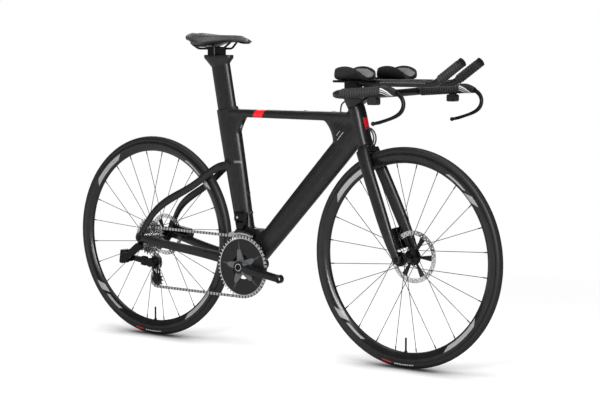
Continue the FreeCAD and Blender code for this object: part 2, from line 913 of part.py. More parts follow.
def seat_gusset():
    half = seat_tube_depth_high / 2
    wires = []
    for share, reach in ((0.0, seat_gusset_reach), (0.5, 0.35 * seat_gusset_reach), (1.0, -4.0)):
        z = tube_top - top_tube_depth / 2 - share * (seat_gusset_drop + top_tube_depth / 2)
        wires.append(flat_section(z, seat_x(z), seat_x(z) + half + reach, seat_tube_width - 4))
    return loft(wires)


def bracket_gusset():
    wires = []
    for rise, ahead, behind, width in ((122, 58, 0, 34), (88, 44, 0, 40), (30, 18, 22, 56)):
        z = bracket.z + rise
        wires.append(flat_section(z, seat_x(z) - behind, bracket.x + ahead, width))
    return loft(wires)


def chainstay():
    half = chainstay_height / 2
    thick = chainstay_thickness / 2
    stations = [bracket + vec(-6, -22, 3), bracket + vec(-103, -28.5, 20),
                rear_axle_point + vec(175, -49, -27), rear_axle_point + vec(52, -stay_end_y, -8),
                rear_axle_point + vec(6, -stay_end_y, -1)]
    return along_path(stations, (11, thick, thick, 5.6, dropout_thickness / 2 - 0.3),
                      (half, half, half - 2, half - 3.5, half - 5), 2.6)


def seatstay():
    half = seatstay_height / 2
    thick = seatstay_thickness / 2
    stations = [on_seat(seatstay_join) + vec(-8, -8, 0), on_seat(seatstay_join) + vec(-48, -20, 2),
                rear_axle_point + vec(160, -44, 157), rear_axle_point + vec(52, -62, 84),
                rear_axle_point + vec(25, -69, 46), rear_axle_point + vec(5, -stay_end_y, 11)]
    return along_path(stations, (7, thick, thick, thick, 5.2, dropout_thickness / 2 - 0.3),
                      (half + 2, half, half, half - 1, half - 2, half - 3), 2.6)


def post_section(s, grow):
    return oval(on_seat(s), seat_ahead, left, post_depth / 2 + grow, post_width / 2 + grow, 2.3)


post_bottom = seat_tube_length - post_insert
clamp_place = seat_tube_length - 60.0
clamp_half_height = 15.0
clamp_half_width = 6.0


def clamp_block(grow, depth_from, depth_to):
    return block(on_seat(clamp_place), seat_up, (-clamp_half_height - grow, clamp_half_height + grow),
                 (-clamp_half_width - grow, clamp_half_width + grow), (-depth_to, -depth_from))


seat_front_face = seat_tube_depth_high / 2


def boss_places():
    low = boss_height - boss_spacing / 2
    return [low, low + boss_spacing]


def seat_tube_front(s):
    share = min(max((s / seat_tube_length - 0.4) / 0.38, 0.0), 1.0)
    return (seat_tube_depth_low + share * (seat_tube_depth_high - seat_tube_depth_low)) / 2


def top_boss_places():
    front = steer_x(tube_top) - top_boss_setback
    return [front, front - top_boss_spacing]


# Hose routes
loop_points = [cockpit(-26, 0, -6), cockpit(-44, 0, -12), cockpit(-51, 0, -28),
               vec(stem_top.x - 51, 0, tube_top - hose_port_depth)]
loop_bend = 12.0
nose_port = on_steer(head_bottom + 0.42 * head_tube_length) + steer_ahead * (head_tube_radius - 6)
crown_port = on_steer(fork_length - 12) + steer_ahead * (head_tube_radius - 5)


def front_hose_points(y):
    shift = vec(0, y, 0)
    out = steer_ahead * 22
    return [nose_port + shift, nose_port + shift + out - steer_up * 8,
            crown_port + shift + out + steer_up * 14, crown_port + shift + steer_up * 2]


front_hose_bend = 11.0
front_hose_rows = (-6.0, 6.0)


def port(points, end, depth=2.0):
    # A round hole a little wider than the hose, reaching past its end.
    first, second = (points[0], points[1]) if end == 0 else (points[-1], points[-2])
    direction = (second - first).normalize()
    return rod(first - direction * depth, direction, hose_radius + 0.5, depth + 14)


derailleur_pad_s = 150.0


def frame():
    tubes = [seat_tube(), top_tube(), down_tube(), head_tube(), head_gusset(), seat_gusset(),
             bracket_gusset(), across(bracket, -shell_half_width, shell_half_width, shell_radius)]
    stays = [chainstay(), mirrored(chainstay()), seatstay(), mirrored(seatstay())]
    ends = [across(rear_axle_point, -rear_dropout_outer, -right_dropout_inner, dropout_radius),
            across(rear_axle_point, rear_dropout_inner, rear_dropout_outer, dropout_radius)]
    caliper_pad = block(rear_axle_point, stay_along, (caliper_start, caliper_start + caliper_length),
                        (rear_rotor_y + caliper_inner - 7, rear_dropout_outer), (0, rear_caliper_lift))
    front_pad = block(on_seat(derailleur_pad_s), seat_up, (-14, 14), (-24, 0), (-9, 9))
    bosses = [rod(on_seat(s) + seat_ahead * 20, seat_ahead, boss_radius, seat_tube_front(s) + boss_rise - 20)
              for s in boss_places()]
    bosses += [rod(vec(x, 0, tube_top - 12), up, boss_radius, 12 + boss_rise) for x in top_boss_places()]
    body = fuse(tubes + stays + ends + [caliper_pad, front_pad] + bosses)
    far = 2 * shell_half_width
    seat = shell_half_width - bracket_bearing_width
    spaces = [
        rod(on_steer(head_bottom - 30), steer_up, steerer_radius + 3, head_tube_length + 60),
        rod(on_steer(head_bottom - 30), steer_up, headset_radius, 30 + bearing_width),
        rod(on_steer(head_top - bearing_width), steer_up, headset_radius, bearing_width + 30),
        across(bracket, -far, far, spindle_radius + 2),
        across(bracket, -far, -seat, bracket_bearing_radius),
        across(bracket, seat, far, bracket_bearing_radius),
        across(bracket, -far, -shell_half_width, shell_radius + 12),
        across(bracket, shell_half_width, far, shell_radius + 12),
        across(rear_axle_point, -200, 200, axle_radius + running_clearance),
        across(rear_axle_point, -right_dropout_inner, rear_dropout_inner, dropout_radius + 8),
        loft([post_section(seat_tube_length - post_socket, post_clearance),
              post_section(seat_tube_length + 10, post_clearance)]),
        clamp_block(running_clearance, post_depth / 2 - 4, seat_front_face + seat_gusset_reach),
        port(loop_points, 1)]
    spaces += [port(front_hose_points(y), 0) for y in front_hose_rows]
    spaces += [rod(on_seat(s) + seat_ahead * (seat_tube_front(s) - 14), seat_ahead, boss_thread_radius, 30)
               for s in boss_places()]
    spaces += [rod(vec(x, 0, tube_top - 10), up, boss_thread_radius, 30) for x in top_boss_places()]
    return cut(body, spaces)


def frame_bearings():
    inner = steerer_radius + running_clearance
    low = tube(on_steer(head_bottom), steer_up, inner, headset_radius, bearing_width)
    high = tube(on_steer(head_top - bearing_width), steer_up, inner, headset_radius, bearing_width)
    bore = spindle_radius + running_clearance
    inside = shell_half_width - bracket_bearing_width
    return group([low, high, ring_across(bracket, inside, shell_half_width, bore, bracket_bearing_radius),
                  ring_across(bracket, -shell_half_width, -inside, bore, bracket_bearing_radius)])


def seat_clamp():
    # A wedge through the front of the seat tube against the post, with a cover plate and two bolts.
    face = seat_front_face + 4.0
    wedge = clamp_block(0, post_depth / 2 + post_clearance + 0.2, face)
    tall = clamp_half_height - 1
    wide = clamp_half_width - 0.5
    plate = block(on_seat(clamp_place), seat_up, (-tall, tall), (-wide, wide), (-face - 3, -face))
    plate = rounded(plate, 5.0, seat_ahead)
    bolts = [rod(on_seat(clamp_place + side * 7) + seat_ahead * (face + 3), seat_ahead, 3.2, 2.5)
             for side in (-1, 1)]
    return group([fuse([wedge, plate])] + bolts)


def derailleur_hanger():
    hole = rear_axle_point + vec(hanger_forward, 0, -hanger_drop)
    y = -right_dropout_inner
    wires = [eye_outline(rear_axle_point, 13, hole, 9, y),
             circle(rear_axle_point, axle_radius + running_clearance, y), circle(hole, 5.0, y)]
    return sheet(wires, y, y + hanger_thickness)


def rear_axle():
    shaft = across(rear_axle_point, -rear_dropout_outer - 1, rear_dropout_outer, axle_radius)
    head = across(rear_axle_point, rear_dropout_outer, rear_dropout_outer + 3.5, axle_radius + 3)
    return shaft.fuse(head).cut(across(rear_axle_point, rear_dropout_outer - 3, 200, 3.0))


# Seat
def seatpost():
    shoulder = seat_tube_length + post_rise - post_flare
    flare = loft([post_section(shoulder, 0), head_section(0)])
    plate = loft([head_section(0), head_section(post_head_thickness)])
    return fuse([loft([post_section(post_bottom, 0), post_section(shoulder, 0)]), flare, plate])


post_head = on_seat(seat_tube_length + post_rise)


def head_section(rise):
    middle = post_head + vec(-4, 0, rise)
    return oval(middle, forward, left, post_head_half_length, post_width / 2 + 3, 3.0)


clamp_middle = post_head + vec(-12, 0, post_head_thickness)


def saddle_point(dx, y, dz):
    return clamp_middle + vec(dx, y, dz)


def rail_points(side):
    gauge = rail_half_gauge
    return [saddle_point(-84, side * 30, rail_height + 19), saddle_point(-60, side * gauge, rail_height),
            saddle_point(46, side * gauge, rail_height), saddle_point(70, side * 16, rail_height + 19.5)]


def saddle_clamp():
    half = 18.0
    wide = rail_half_gauge + 8
    rails = [rod(saddle_point(-60, side * rail_half_gauge, rail_height), forward, rail_radius + 0.02, 110)
             for side in (-1, 1)]
    middle = saddle_point(0, 0, rail_height)
    low = block(middle, forward, (-half, half), (-wide, wide), (-rail_height, 0))
    low = rounded(low, 8.0, up)
    high = rounded(block(middle, forward, (-half, half), (-wide, wide), (0, 6)), 8.0, up)
    bolts = []
    holes = []
    for side in (-1, 1):
        foot = middle + vec(0, side * 9, -rail_height)
        holes.append(rod(foot, up, 3.2, 40))
        shank = rod(foot, up, 3.0, rail_height + 6)
        bolts.append(shank.fuse(rod(foot + up * (rail_height + 6), up, 5.0, 3)))
    return group([cut(low, rails + holes), cut(high, rails + holes)] + bolts)


def saddle_rails():
    return group([bent_rod(rail_points(side), 26.0, rail_radius) for side in (-1, 1)])


# Stations from tail to nose: share of length, share of half width, crown height, side drop
saddle_stations = ((0.0, 0.44, 73.0, 11.0), (0.07, 0.66, 71.5, 24.0), (0.187, 0.92, 69.5, 33.0),
                   (0.303, 1.0, 66.5, 37.0), (0.42, 0.86, 64.0, 28.0), (0.555, 0.62, 62.5, 21.0),
                   (0.706, 0.44, 62.3, 17.3), (0.846, 0.35, 60.5, 17.5), (0.943, 0.29, 55.0, 15.0),
                   (1.0, 0.17, 48.5, 9.5))


def saddle_section(share, width_share, crown, drop):
    x = share * saddle_length - saddle_setback
    half = width_share * saddle_half_width
    scoop = max(0.0, 1.0 - share / 0.35)
    dip = 1.0 + saddle_groove * math.sin(math.pi * (0.2 + 0.7 * share)) + saddle_scoop * scoop
    edge = (0.16 + 0.26 * scoop) * half
    low = crown - drop

    def at(y, z):
        return saddle_point(x, y, z)

    def side_edges(side):
        return [at(side * edge, crown), at(side * 0.62 * half, crown - 0.12 * drop),
                at(side * 0.97 * half, crown - 0.5 * drop), at(side * half, crown - 0.72 * drop),
                at(side * 0.86 * half, low)]

    r = side_edges(1)
    m = side_edges(-1)
    edges = [Part.Arc(m[0], at(0, crown - dip), r[0]), Part.Arc(r[0], r[1], r[2]),
             Part.Arc(r[2], r[3], r[4]), Part.LineSegment(r[4], m[4]), Part.Arc(m[4], m[3], m[2]),
             Part.Arc(m[2], m[1], m[0])]
    return Part.Wire([edge.toShape() for edge in edges])


def saddle_cover():
    return loft([saddle_section(*station) for station in saddle_stations])


def saddle_base():
    wires = []
    for share, width_share, crown, drop in saddle_stations[1:-1]:
        x = share * saddle_length - saddle_setback
        middle = saddle_point(x, 0, crown - drop - 2.5)
        wires.append(oval(middle, left, up, 0.8 * width_share * saddle_half_width, 2.2, 3.0))
    base = loft(wires)
    rails = [bent_rod(rail_points(side), 26.0, rail_radius + 0.02) for side in (-1, 1)]
    pieces = cut(base, rails + [saddle_cover()]).Solids
    return max(pieces, key=lambda piece: piece.Volume)


# Fork and cockpit
def fork():
    crown = loft([oval(on_steer(fork_length - 20), steer_ahead, left, head_tube_radius, 37, 2.4),
                  oval(on_steer(fork_length - 9), steer_ahead, left, head_tube_radius, 33, 2.4),
                  oval(on_steer(fork_length), steer_ahead, left, head_tube_radius, head_tube_radius, 2.2)])
    run = front_axle_point - on_steer(fork_length)
    half = fork_blade_depth / 2
    wide = fork_blade_width / 2
    blade_end = front_hub_half + fork_dropout_thickness / 2
    shares = ((0.03, 26, half + 2, 11), (0.28, 39, half, wide + 0.5), (0.58, 48, half, wide),
              (0.86, blade_end, half - 4, 7.5),
              (0.985, blade_end, half - 8, fork_dropout_thickness / 2 - 0.2))
    wires = []
    ahead = vec(-fork_along.z, 0, fork_along.x) * -1
    for share, y, depth, width in shares:
        wires.append(oval(on_steer(fork_length) + run * share + vec(0, -y, 0), ahead, left, depth, width))
    blade = loft(wires)
    end = across(front_axle_point, -front_hub_half - fork_dropout_thickness, -front_hub_half, 14.0)
    blade_outside = front_hub_half + fork_dropout_thickness + 1
    caliper_pad = block(front_axle_point, fork_along, (caliper_start, caliper_start + caliper_length),
                        (front_hub_half - 2, blade_outside), (0, front_caliper_lift))
    steerer = rod(on_steer(fork_length - 12), steer_up, steerer_radius, head_tube_length + stem_rise + 9)
    race = tube(on_steer(fork_length), steer_up, steerer_radius - 1, steerer_radius + 3, 0.9)
    body = fuse([crown, blade, mirrored(blade), end, mirrored(end), caliper_pad, steerer, race])
    spaces = [across(front_axle_point, -200, 200, axle_radius + running_clearance),
              across(front_axle_point, -front_hub_half, front_hub_half, 22.0)]
    spaces += [port(front_hose_points(y), 1) for y in front_hose_rows]
    return cut(body, spaces)


def front_axle():
    outer = front_hub_half + fork_dropout_thickness
    shaft = across(front_axle_point, -outer - 1, outer, axle_radius)
    head = across(front_axle_point, outer, outer + 3.5, axle_radius + 3)
    return shaft.fuse(head).cut(across(front_axle_point, outer - 3, 200, 3.0))


def stem():
    low = oval(on_steer(head_top + 0.6), steer_ahead, left, head_tube_nose, head_tube_radius, 2.2)
    high = oval(stem_top + vec(14, 0, 0), forward, left, 46, stem_half_width, 3.2)
    bore = rod(on_steer(head_top - 10), steer_up, steerer_radius + running_clearance, 60)
    return cut(loft([low, high]), [bore, port(loop_points, 0)])


def horn_point(dx, side):
    return cockpit(dx, side * bar_half_width, 21.0 + (dx - horn_start) * horn_climb)


bar_rise = bar_thickness / 2 + 0.2


def bar_stations(side):
    # Places, headings and slimness from the flat wing, round the corner and along the round horn.
    corner = (cockpit(bar_set_forward + 16, side * 0.45 * bar_half_width, bar_rise + 2),
              cockpit(bar_set_forward + 44, side * 0.84 * bar_half_width, bar_rise + 5),
              cockpit(bar_set_forward + 54, side * bar_half_width, bar_rise + 8),
              horn_point(horn_start, side))
    stations = []
    for i in range(bar_corner_steps + 1):
        t = i / bar_corner_steps
        r = 1 - t
        a, b, c, d = corner
        place = a * (r ** 3) + b * (3 * r * r * t) + c * (3 * r * t * t) + d * (t ** 3)
        run = (b - a) * (r * r) + (c - b) * (2 * r * t) + (d - c) * (t * t)
        stations.append((place, run.normalize(), 0.15 + 0.85 * t))
    stations.append((horn_point(horn_end, side), vec(1, 0, horn_climb).normalize(), 1.0))
    return stations


def base_bar():
    right = [(place, run * -1, share) for place, run, share in reversed(bar_stations(-1))]
    middle = [(cockpit(bar_set_forward, 0, bar_rise), left, 0.0)]
    wires = []
    for place, run, share in right + middle + bar_stations(1):
        across_run = run.cross(up).normalize()
        chord = bar_chord / 2 + share * (horn_radius - bar_chord / 2)
        thick = bar_thickness / 2 + share * (horn_radius - bar_thickness / 2)
        wires.append(oval(place, across_run, across_run.cross(run), chord, thick, 3.0 - share))
    return Part.makeLoft(wires, True, True)


def grip_tape():
    solids = []
    for side in (-1, 1):
        start = horn_point(horn_start + 6, side)
        end = horn_point(horn_end - 0.5, side)
        run = end - start
        solids.append(rod(start, run, horn_radius + tape_thickness, run.Length).cut(base_bar()))
        climb = extension_direction()
        bend_reach = extension_bend * math.tan(math.radians(extension_rise_angle / 2)) + 3
        foot = extension_corner(side) + climb * bend_reach
        length = extension_rise_length - bend_reach - 4
        wrap = extension_radius + tape_thickness + 0.4
        solids.append(tube(foot, climb, extension_radius + 0.1, wrap, length))
    return group(solids)


def extension_direction():
    a = math.radians(extension_rise_angle)
    return vec(math.cos(a), 0, math.sin(a))


def extension_corner(side):
    return cockpit(8 + extension_straight, side * extension_half_gauge, extension_height)


def extensions():
    solids = []
    for side in (-1, 1):
        corner = extension_corner(side)
        climb = extension_direction()
        tip = corner + climb * extension_rise_length
        route = [corner - forward * extension_straight, corner, tip]
        bent = bent_rod(route, extension_bend, extension_radius)
        plug = rod(tip - climb * 3.5, climb, extension_radius + tape_thickness, 9)
        solids.append(bent.fuse(plug))
    return group(solids)


def lever_pivot(side):
    return horn_point(horn_end + lever_pivot_reach, side) + vec(0, 0, -8)


def lever_body(side):
    run = vec(1, 0, horn_climb)
    places = ((1.3, 15.0, 15.0, 0), (16, 15.0, 12.5, 0), (36, 13.0, 10.5, -3),
              (lever_pivot_reach + 2, 8.5, 9.0, -8))
    wires = []
    for dx, half_z, half_y, dz in places:
        middle = horn_point(horn_end, side) + run * dx + vec(0, 0, dz)
        wires.append(oval(middle, up, left, half_z, half_y, 2.4))
    pivot = lever_pivot(side)
    y = side * bar_half_width
    slot_half = lever_width / 2 + loose_clearance
    pin = across(pivot, y - 8.6, y + 8.6, lever_pin_radius)
    base = vec(pivot.x, 0, pivot.z)
    slot = block(base, forward, (-15, 40), (y - slot_half, y + slot_half), (-40, 40))
    return cut(loft(wires), [slot]).fuse(pin)


lever_course = ((0, 0), (15, -9), (25, -30), (19, -50), (2, -64), (-38, -79), (-80, -89))


def brake_lever(side):
    pivot = lever_pivot(side)
    places = [pivot + vec(dx, 0, dz) for dx, dz in lever_course]
    half = [lever_width / 2, lever_width / 2, lever_width / 2 + 0.5, 5, 5, 4.6, 4.2]
    tall = [6.5, 6.5, 6, 6, 5.5, 4.8, 4.4]
    wires = []
    last = len(places) - 1
    for i, place in enumerate(places):
        run = (places[min(i + 1, last)] - places[max(i - 1, 0)]).normalize()
        wires.append(oval(place, run.cross(left).normalize(), left, tall[i], half[i], 2.6))
    y = side * bar_half_width
    eye = across(pivot, y - lever_width / 2, y + lever_width / 2, 7.0)
    ball = Part.makeSphere(6.5, places[-1])
    hole = across(pivot, y - 20, y + 20, lever_pin_radius + running_clearance)
    return fuse([loft(wires), eye, ball]).cut(hole)


pod_dx = 205.0


def pod_ranges(side):
    tape_bottom = horn_point(pod_dx + pod_length / 2, side).z - horn_radius - tape_thickness - 1.2
    y = side * bar_half_width
    x = stem_top.x + pod_dx
    half = pod_width / 2
    return (x, x + pod_length), (y - half, y + half), (tape_bottom - pod_height, tape_bottom)


def button_spot(side):
    xs, ys, zs = pod_ranges(side)
    face = ys[1] if side < 0 else ys[0]
    return vec((xs[0] + xs[1]) / 2, face, (zs[0] + zs[1]) / 2 - 2)


def shift_pod(side):
    xs, ys, zs = pod_ranges(side)
    body = Part.makeBox(xs[1] - xs[0], ys[1] - ys[0], zs[1] - zs[0], vec(xs[0], ys[0], zs[0]))
    body = rounded(body, 6.0, left)
    seat = Part.makeBox(xs[1] - xs[0] - 12, 14, 8, vec(xs[0] + 6, (ys[0] + ys[1]) / 2 - 7, zs[1] - 2))
    grip = rod(horn_point(horn_start, side), vec(1, 0, horn_climb), horn_radius + tape_thickness + 0.1, 200)
    spot = button_spot(side)
    socket = rod(spot, left * side, button_radius + 0.1, 5.0 + button_travel)
    return cut(fuse([body, seat]), [grip, socket])


def shift_button(side):
    spot = button_spot(side)
    inward = left * side
    return rod(spot - inward * 2.2, inward, button_radius, 2.2 + 4.8)


def arm_rest_bracket(side):
    y = side * extension_half_gauge
    wide = extension_radius + 4
    foot = bar_rise + bar_thickness / 2 - 1.0
    clamp = block(stem_top, forward, (10, 56), (y - wide, y + wide), (foot, extension_height + wide - 1))
    clamp = rounded(clamp, 5.0, forward)
    inner = sorted((side * (extension_half_gauge + extension_radius + 1), side * (arm_pad_half_gauge + 22)))
    arm = block(stem_top, forward, (16, arm_pad_set_forward + 38), inner,
                (arm_cup_height - 7.5, arm_cup_height - 0.2))
    arm = rounded(arm, 3.0, forward)
    bore = rod(cockpit(-20, y, extension_height), forward, extension_radius + running_clearance, 200)
    return cut(fuse([clamp, arm]), [bore, base_bar()])


def trough(side, outer_wall, inner_wall, trim):
    # A curved rest, open forwards and upwards, between two half ellipses.
    y = side * arm_pad_half_gauge
    rim_z = stem_top.z + arm_cup_height + arm_cup_depth
    x = stem_top.x + arm_pad_set_forward
    half = arm_cup_length / 2

    def bowl(wall):
        ellipse = Part.Ellipse(vec(x - half, y, rim_z), arm_cup_half_width - wall, arm_cup_depth - wall)
        wire = Part.Wire([ellipse.toShape()])
        wire.rotate(vec(x - half, y, rim_z), up, 90)
        wire.rotate(vec(x - half, y, rim_z), left, 90)
        return Part.Face(wire).extrude(vec(2 * half, 0, 0))

    plan = Part.makeBox(2 * (half - trim), 2 * arm_cup_half_width, 100,
                        vec(x - half + trim, y - arm_cup_half_width, rim_z - 70))
    plan = rounded(plan, 30.0, up)
    top = rim_z - trim
    low = top - 0.62 * arm_cup_depth
    outline = Part.Wire([
        Part.Arc(vec(x - half, y, low + 8), vec(x - 6, y, top), vec(x + half, y, low)).toShape(),
        Part.LineSegment(vec(x + half, y, low), vec(x + half, y, rim_z - 60)).toShape(),
        Part.LineSegment(vec(x + half, y, rim_z - 60), vec(x - half, y, rim_z - 60)).toShape(),
        Part.LineSegment(vec(x - half, y, rim_z - 60), vec(x - half, y, low + 8)).toShape()])
    side_view = Part.Face(outline).extrude(vec(0, 200, 0))
    side_view.translate(vec(0, -100, 0))
    return bowl(outer_wall).cut(bowl(inner_wall)).common(plan).common(side_view)


def arm_cup(side):
    return trough(side, 0.0, arm_cup_wall, 0.0)


def arm_pad(side):
    return trough(side, arm_cup_wall + 0.25, arm_cup_wall + arm_pad_thickness, 3.0)


# Front derailleur, round the top of the big ring
def front_derailleur_pivot():
    return vec(bracket.x - front_cage_pivot_inset, -chain_line + 13, bracket.z + front_cage_pivot_height)


def front_derailleur_body():
    pivot = front_derailleur_pivot()
    pad = on_seat(derailleur_pad_s)
    y_pad = -24.0
    body = Part.makeBox(40, 16, 30, vec(pivot.x - 24, y_pad - 16, pivot.z + 6.5))
    body = rounded(body, 5.0, forward)
    foot = Part.makeBox(20, 14, 18, vec(pad.x - 10, y_pad - 14, pad.z))
    lugs = [Part.makeBox(5, 13, 16, vec(x, pivot.y - 6.5, pivot.z - 7))
            for x in (pivot.x - 18, pivot.x + 11)]
    pin = rod(pivot + vec(-18, 0, 0), forward, lever_pin_radius, 34)
    return fuse([body, foot, pin] + lugs)


def front_derailleur_cage():
    pivot = front_derailleur_pivot()
    outer = front_cage_inner_radius + front_cage_height
    y_out = -chain_line - 6.2
    y_in = -chain_line + 6.2
    over_teeth = front_cage_inner_radius + front_cage_outer_rise
    plates = [sheet([window(bracket, over_teeth, outer, 68, 116, y_out)], y_out, y_out + 1.4),
              sheet([window(bracket, front_cage_inner_radius, outer, 68, 116, y_in)], y_in, y_in - 1.4)]
    bridge = sheet([window(bracket, outer - 2.2, outer, 82, 108, y_out)], y_out, y_in)
    hub_eye = rod(pivot + vec(-12.5, 0, 0), forward, 6.0, 23)
    low = bracket.z + outer - 3
    arm = Part.makeBox(23, 6, pivot.z - low, vec(pivot.x - 12.5, pivot.y - 6, low))
    foot = Part.makeBox(23, pivot.y + chain_line + 2, 5, vec(pivot.x - 12.5, -chain_line - 2, low))
    bore = rod(pivot + vec(-40, 0, 0), forward, lever_pin_radius + running_clearance, 80)
    return fuse(plates + [bridge, hub_eye, arm, foot]).cut(bore)


# Rear derailleur
hanger_hole = rear_axle_point + vec(hanger_forward, 0, -hanger_drop)
link_front = guide_point + vec(-knuckle_reach, 0, 4)
link_rear = link_front + vec(-math.sqrt(link_length ** 2 - link_rise ** 2), 0, link_rise)
link_run = (link_front - link_rear).normalize()
link_up = vec(-link_run.z, 0, link_run.x)
link_y = -chain_line - 22.0


def link_box(place, x_range, y_range, z_range):
    base = vec(place.x, 0, place.z)
    return block(base, link_run, x_range, y_range, z_range)


def link_lugs(place, away, y_range):
    # Two lugs above and below a link's eye, with the pin through them.
    half = link_height / 2 + loose_clearance
    lugs = [rounded(link_box(place, away, y_range, zs), 4.0, link_up)
            for zs in ((half, half + 5), (-half - 5, -half))]
    pin = rod(vec(place.x, link_y, place.z) - link_up * (half + 5), link_up, link_pin_radius, 2 * half + 10)
    return lugs + [pin]


def rear_derailleur_body():
    y_out = -right_dropout_inner - 15
    arm_inner = -right_dropout_inner - 6
    boss = across(hanger_hole, y_out, -right_dropout_inner - 0.1, 13.0)
    bolt = across(hanger_hole, -right_dropout_inner - 0.1, -rear_hub_half - 0.3, 4.9)
    arm = sheet([eye_outline(hanger_hole, 13, link_rear, 11, y_out)], y_out, arm_inner)
    lugs = link_lugs(link_rear, (-13, 9), (y_out + 1, link_y + 9))
    body = fuse([boss, bolt, arm] + lugs)
    battery = link_box(link_rear, (-31, -13), (-right_dropout_inner - 10, link_y + 12), (-26, 20))
    battery = rounded(battery, 5.0, left)
    return group([body, battery])


def rear_derailleur_link():
    half = link_height / 2
    thick = link_thickness / 2
    bar = link_box(link_rear, (0, link_length), (link_y - thick, link_y + thick), (-half, half))
    eyes = [rod(vec(p.x, link_y, p.z) - link_up * half, link_up, thick, link_height)
            for p in (link_rear, link_front)]
    holes = [rod(vec(p.x, link_y, p.z) - link_up * 20, link_up, link_pin_radius + running_clearance, 40)
             for p in (link_rear, link_front)]
    return cut(fuse([bar] + eyes), holes)


knuckle_inner = -chain_line - cage_half_gap - cage_plate - loose_clearance


def rear_derailleur_knuckle():
    y_out = link_y - 8
    drum = across(guide_point, y_out, knuckle_inner, 15.0)
    neck = sheet([eye_outline(guide_point, 15, link_front + vec(12, 0, -1), 9, y_out)], y_out, knuckle_inner)
    half = link_height / 2 + loose_clearance
    space = link_box(link_front, (-30, 8), (-200, 200), (-half, half))
    lugs = link_lugs(link_front, (-8, 13), (link_y - 8, link_y + 8))
    shaft = across(guide_point, y_out + 3, knuckle_inner + 1, cage_shaft_radius + running_clearance)
    return fuse([cut(fuse([drum, neck]), [space])] + lugs).cut(shaft)


def rear_derailleur_cage():
    outer_face = -chain_line - cage_half_gap
    inner_face = -chain_line + cage_half_gap
    span = tension_center - guide_point
    plates = []
    for y0, y1 in ((outer_face - cage_plate, outer_face), (inner_face, inner_face + cage_plate)):
        slot = eye_outline(guide_point + span * 0.38, 6, guide_point + span * 0.62, 6, y0)
        plates.append(sheet([eye_outline(guide_point, 13, tension_center, 11, y0), slot], y0, y1))
    pins = [across(c, outer_face - 0.5, inner_face + 0.5, pulley_pin_radius)
            for c in (guide_point, tension_center)]
    shaft = across(guide_point, link_y - 4, outer_face - 0.5, cage_shaft_radius)
    return fuse(plates + pins + [shaft])


def pulley(center, phase):
    y = -chain_line - tooth_thickness / 2
    bore = pulley_pin_radius + running_clearance
    wires = [toothed_outline(center, pulley_teeth, phase, y), circle(center, bore, y)]
    disc = sheet(wires, y, y + tooth_thickness)
    half = cage_half_gap - 0.3
    bush = ring_across(center, -chain_line - half, -chain_line + half, bore, 7.0)
    return disc.fuse(bush)


def pair(make):
    return group([make(-1), make(1)])


hoses = [bent_rod(front_hose_points(y), front_hose_bend, hose_radius) for y in front_hose_rows]
nodes = {
    "frame": frame(),
    "derailleur_hanger": derailleur_hanger(),
    "frame_bearings": frame_bearings(),
    "seat_clamp": seat_clamp(),
    "rear_axle": rear_axle(),
    "rear_brake_caliper": caliper(rear_axle_point, stay_along, rear_caliper_lift, rear_rotor_y,
                                  rear_rotor_radius, rear_dropout_outer),
    "front_derailleur_body": front_derailleur_body(),
    "chain": chain(),
    "cable_loop": bent_rod(loop_points, loop_bend, hose_radius),
    "front_hoses": group(hoses),
    "rear_derailleur_body": rear_derailleur_body(),
    "seatpost": seatpost(),
    "saddle_clamp": saddle_clamp(),
    "saddle_rails": saddle_rails(),
    "saddle_base": saddle_base(),
    "saddle_cover": saddle_cover(),
    "fork": fork(),
    "front_axle": front_axle(),
    "front_brake_caliper": caliper(front_axle_point, fork_along, front_caliper_lift, front_rotor_y,
                                   front_rotor_radius, front_hub_half + fork_dropout_thickness + 1),
    "stem": stem(),
    "base_bar": base_bar(),
    "grip_tape": grip_tape(),
    "brake_lever_bodies": pair(lever_body),
    "arm_rest_brackets": pair(arm_rest_bracket),
    "arm_rest_cups": pair(arm_cup),
    "arm_pads": pair(arm_pad),
    "extensions": extensions(),
    "shift_pods": pair(shift_pod),
    "brake_lever_right": brake_lever(-1),
    "brake_lever_left": brake_lever(1),
    "shift_button_right": shift_button(-1),
    "shift_button_left": shift_button(1),
    "cassette": cassette(),
    "right_crank_arm": right_crank(),
    "left_crank_arm": left_crank(),
    "chainrings": chainrings(),
    "rear_derailleur_link": rear_derailleur_link(),
    "rear_derailleur_knuckle": rear_derailleur_knuckle(),
    "rear_derailleur_cage": rear_derailleur_cage(),
    "guide_pulley": pulley(guide_point, guide_phase),
    "tension_pulley": pulley(tension_center, tension_phase),
    "front_derailleur_cage": front_derailleur_cage()}

for name, side in (("inner", -1), ("outer", 1)):
    nodes["front_pad_" + name] = brake_pad(front_axle_point, fork_along, front_caliper_lift,
                                           front_rotor_y, side)
    nodes["rear_pad_" + name] = brake_pad(rear_axle_point, stay_along, rear_caliper_lift, rear_rotor_y, side)

nodes.update(wheel_nodes("front", front_axle_point, front_flange_left, front_flange_right,
                         front_hub_half - 3, front_hub_half - 3, front_hub_half, front_rotor_radius,
                         front_rotor_y))
nodes.update(wheel_nodes("rear", rear_axle_point, rear_flange_left, rear_flange_right, rear_hub_half - 4,
                         -freehub_inner - 0.5, rear_hub_half, rear_rotor_radius, rear_rotor_y))

os.makedirs("parts", exist_ok=True)
for name, shape in nodes.items():
    shape.exportStep("parts/" + name + ".step")
    print(name, "solids", len(shape.Solids), "valid", shape.isValid(), "volume", round(shape.Volume))
print("cage angle", round(cage_angle, 2), "links", chain_links)
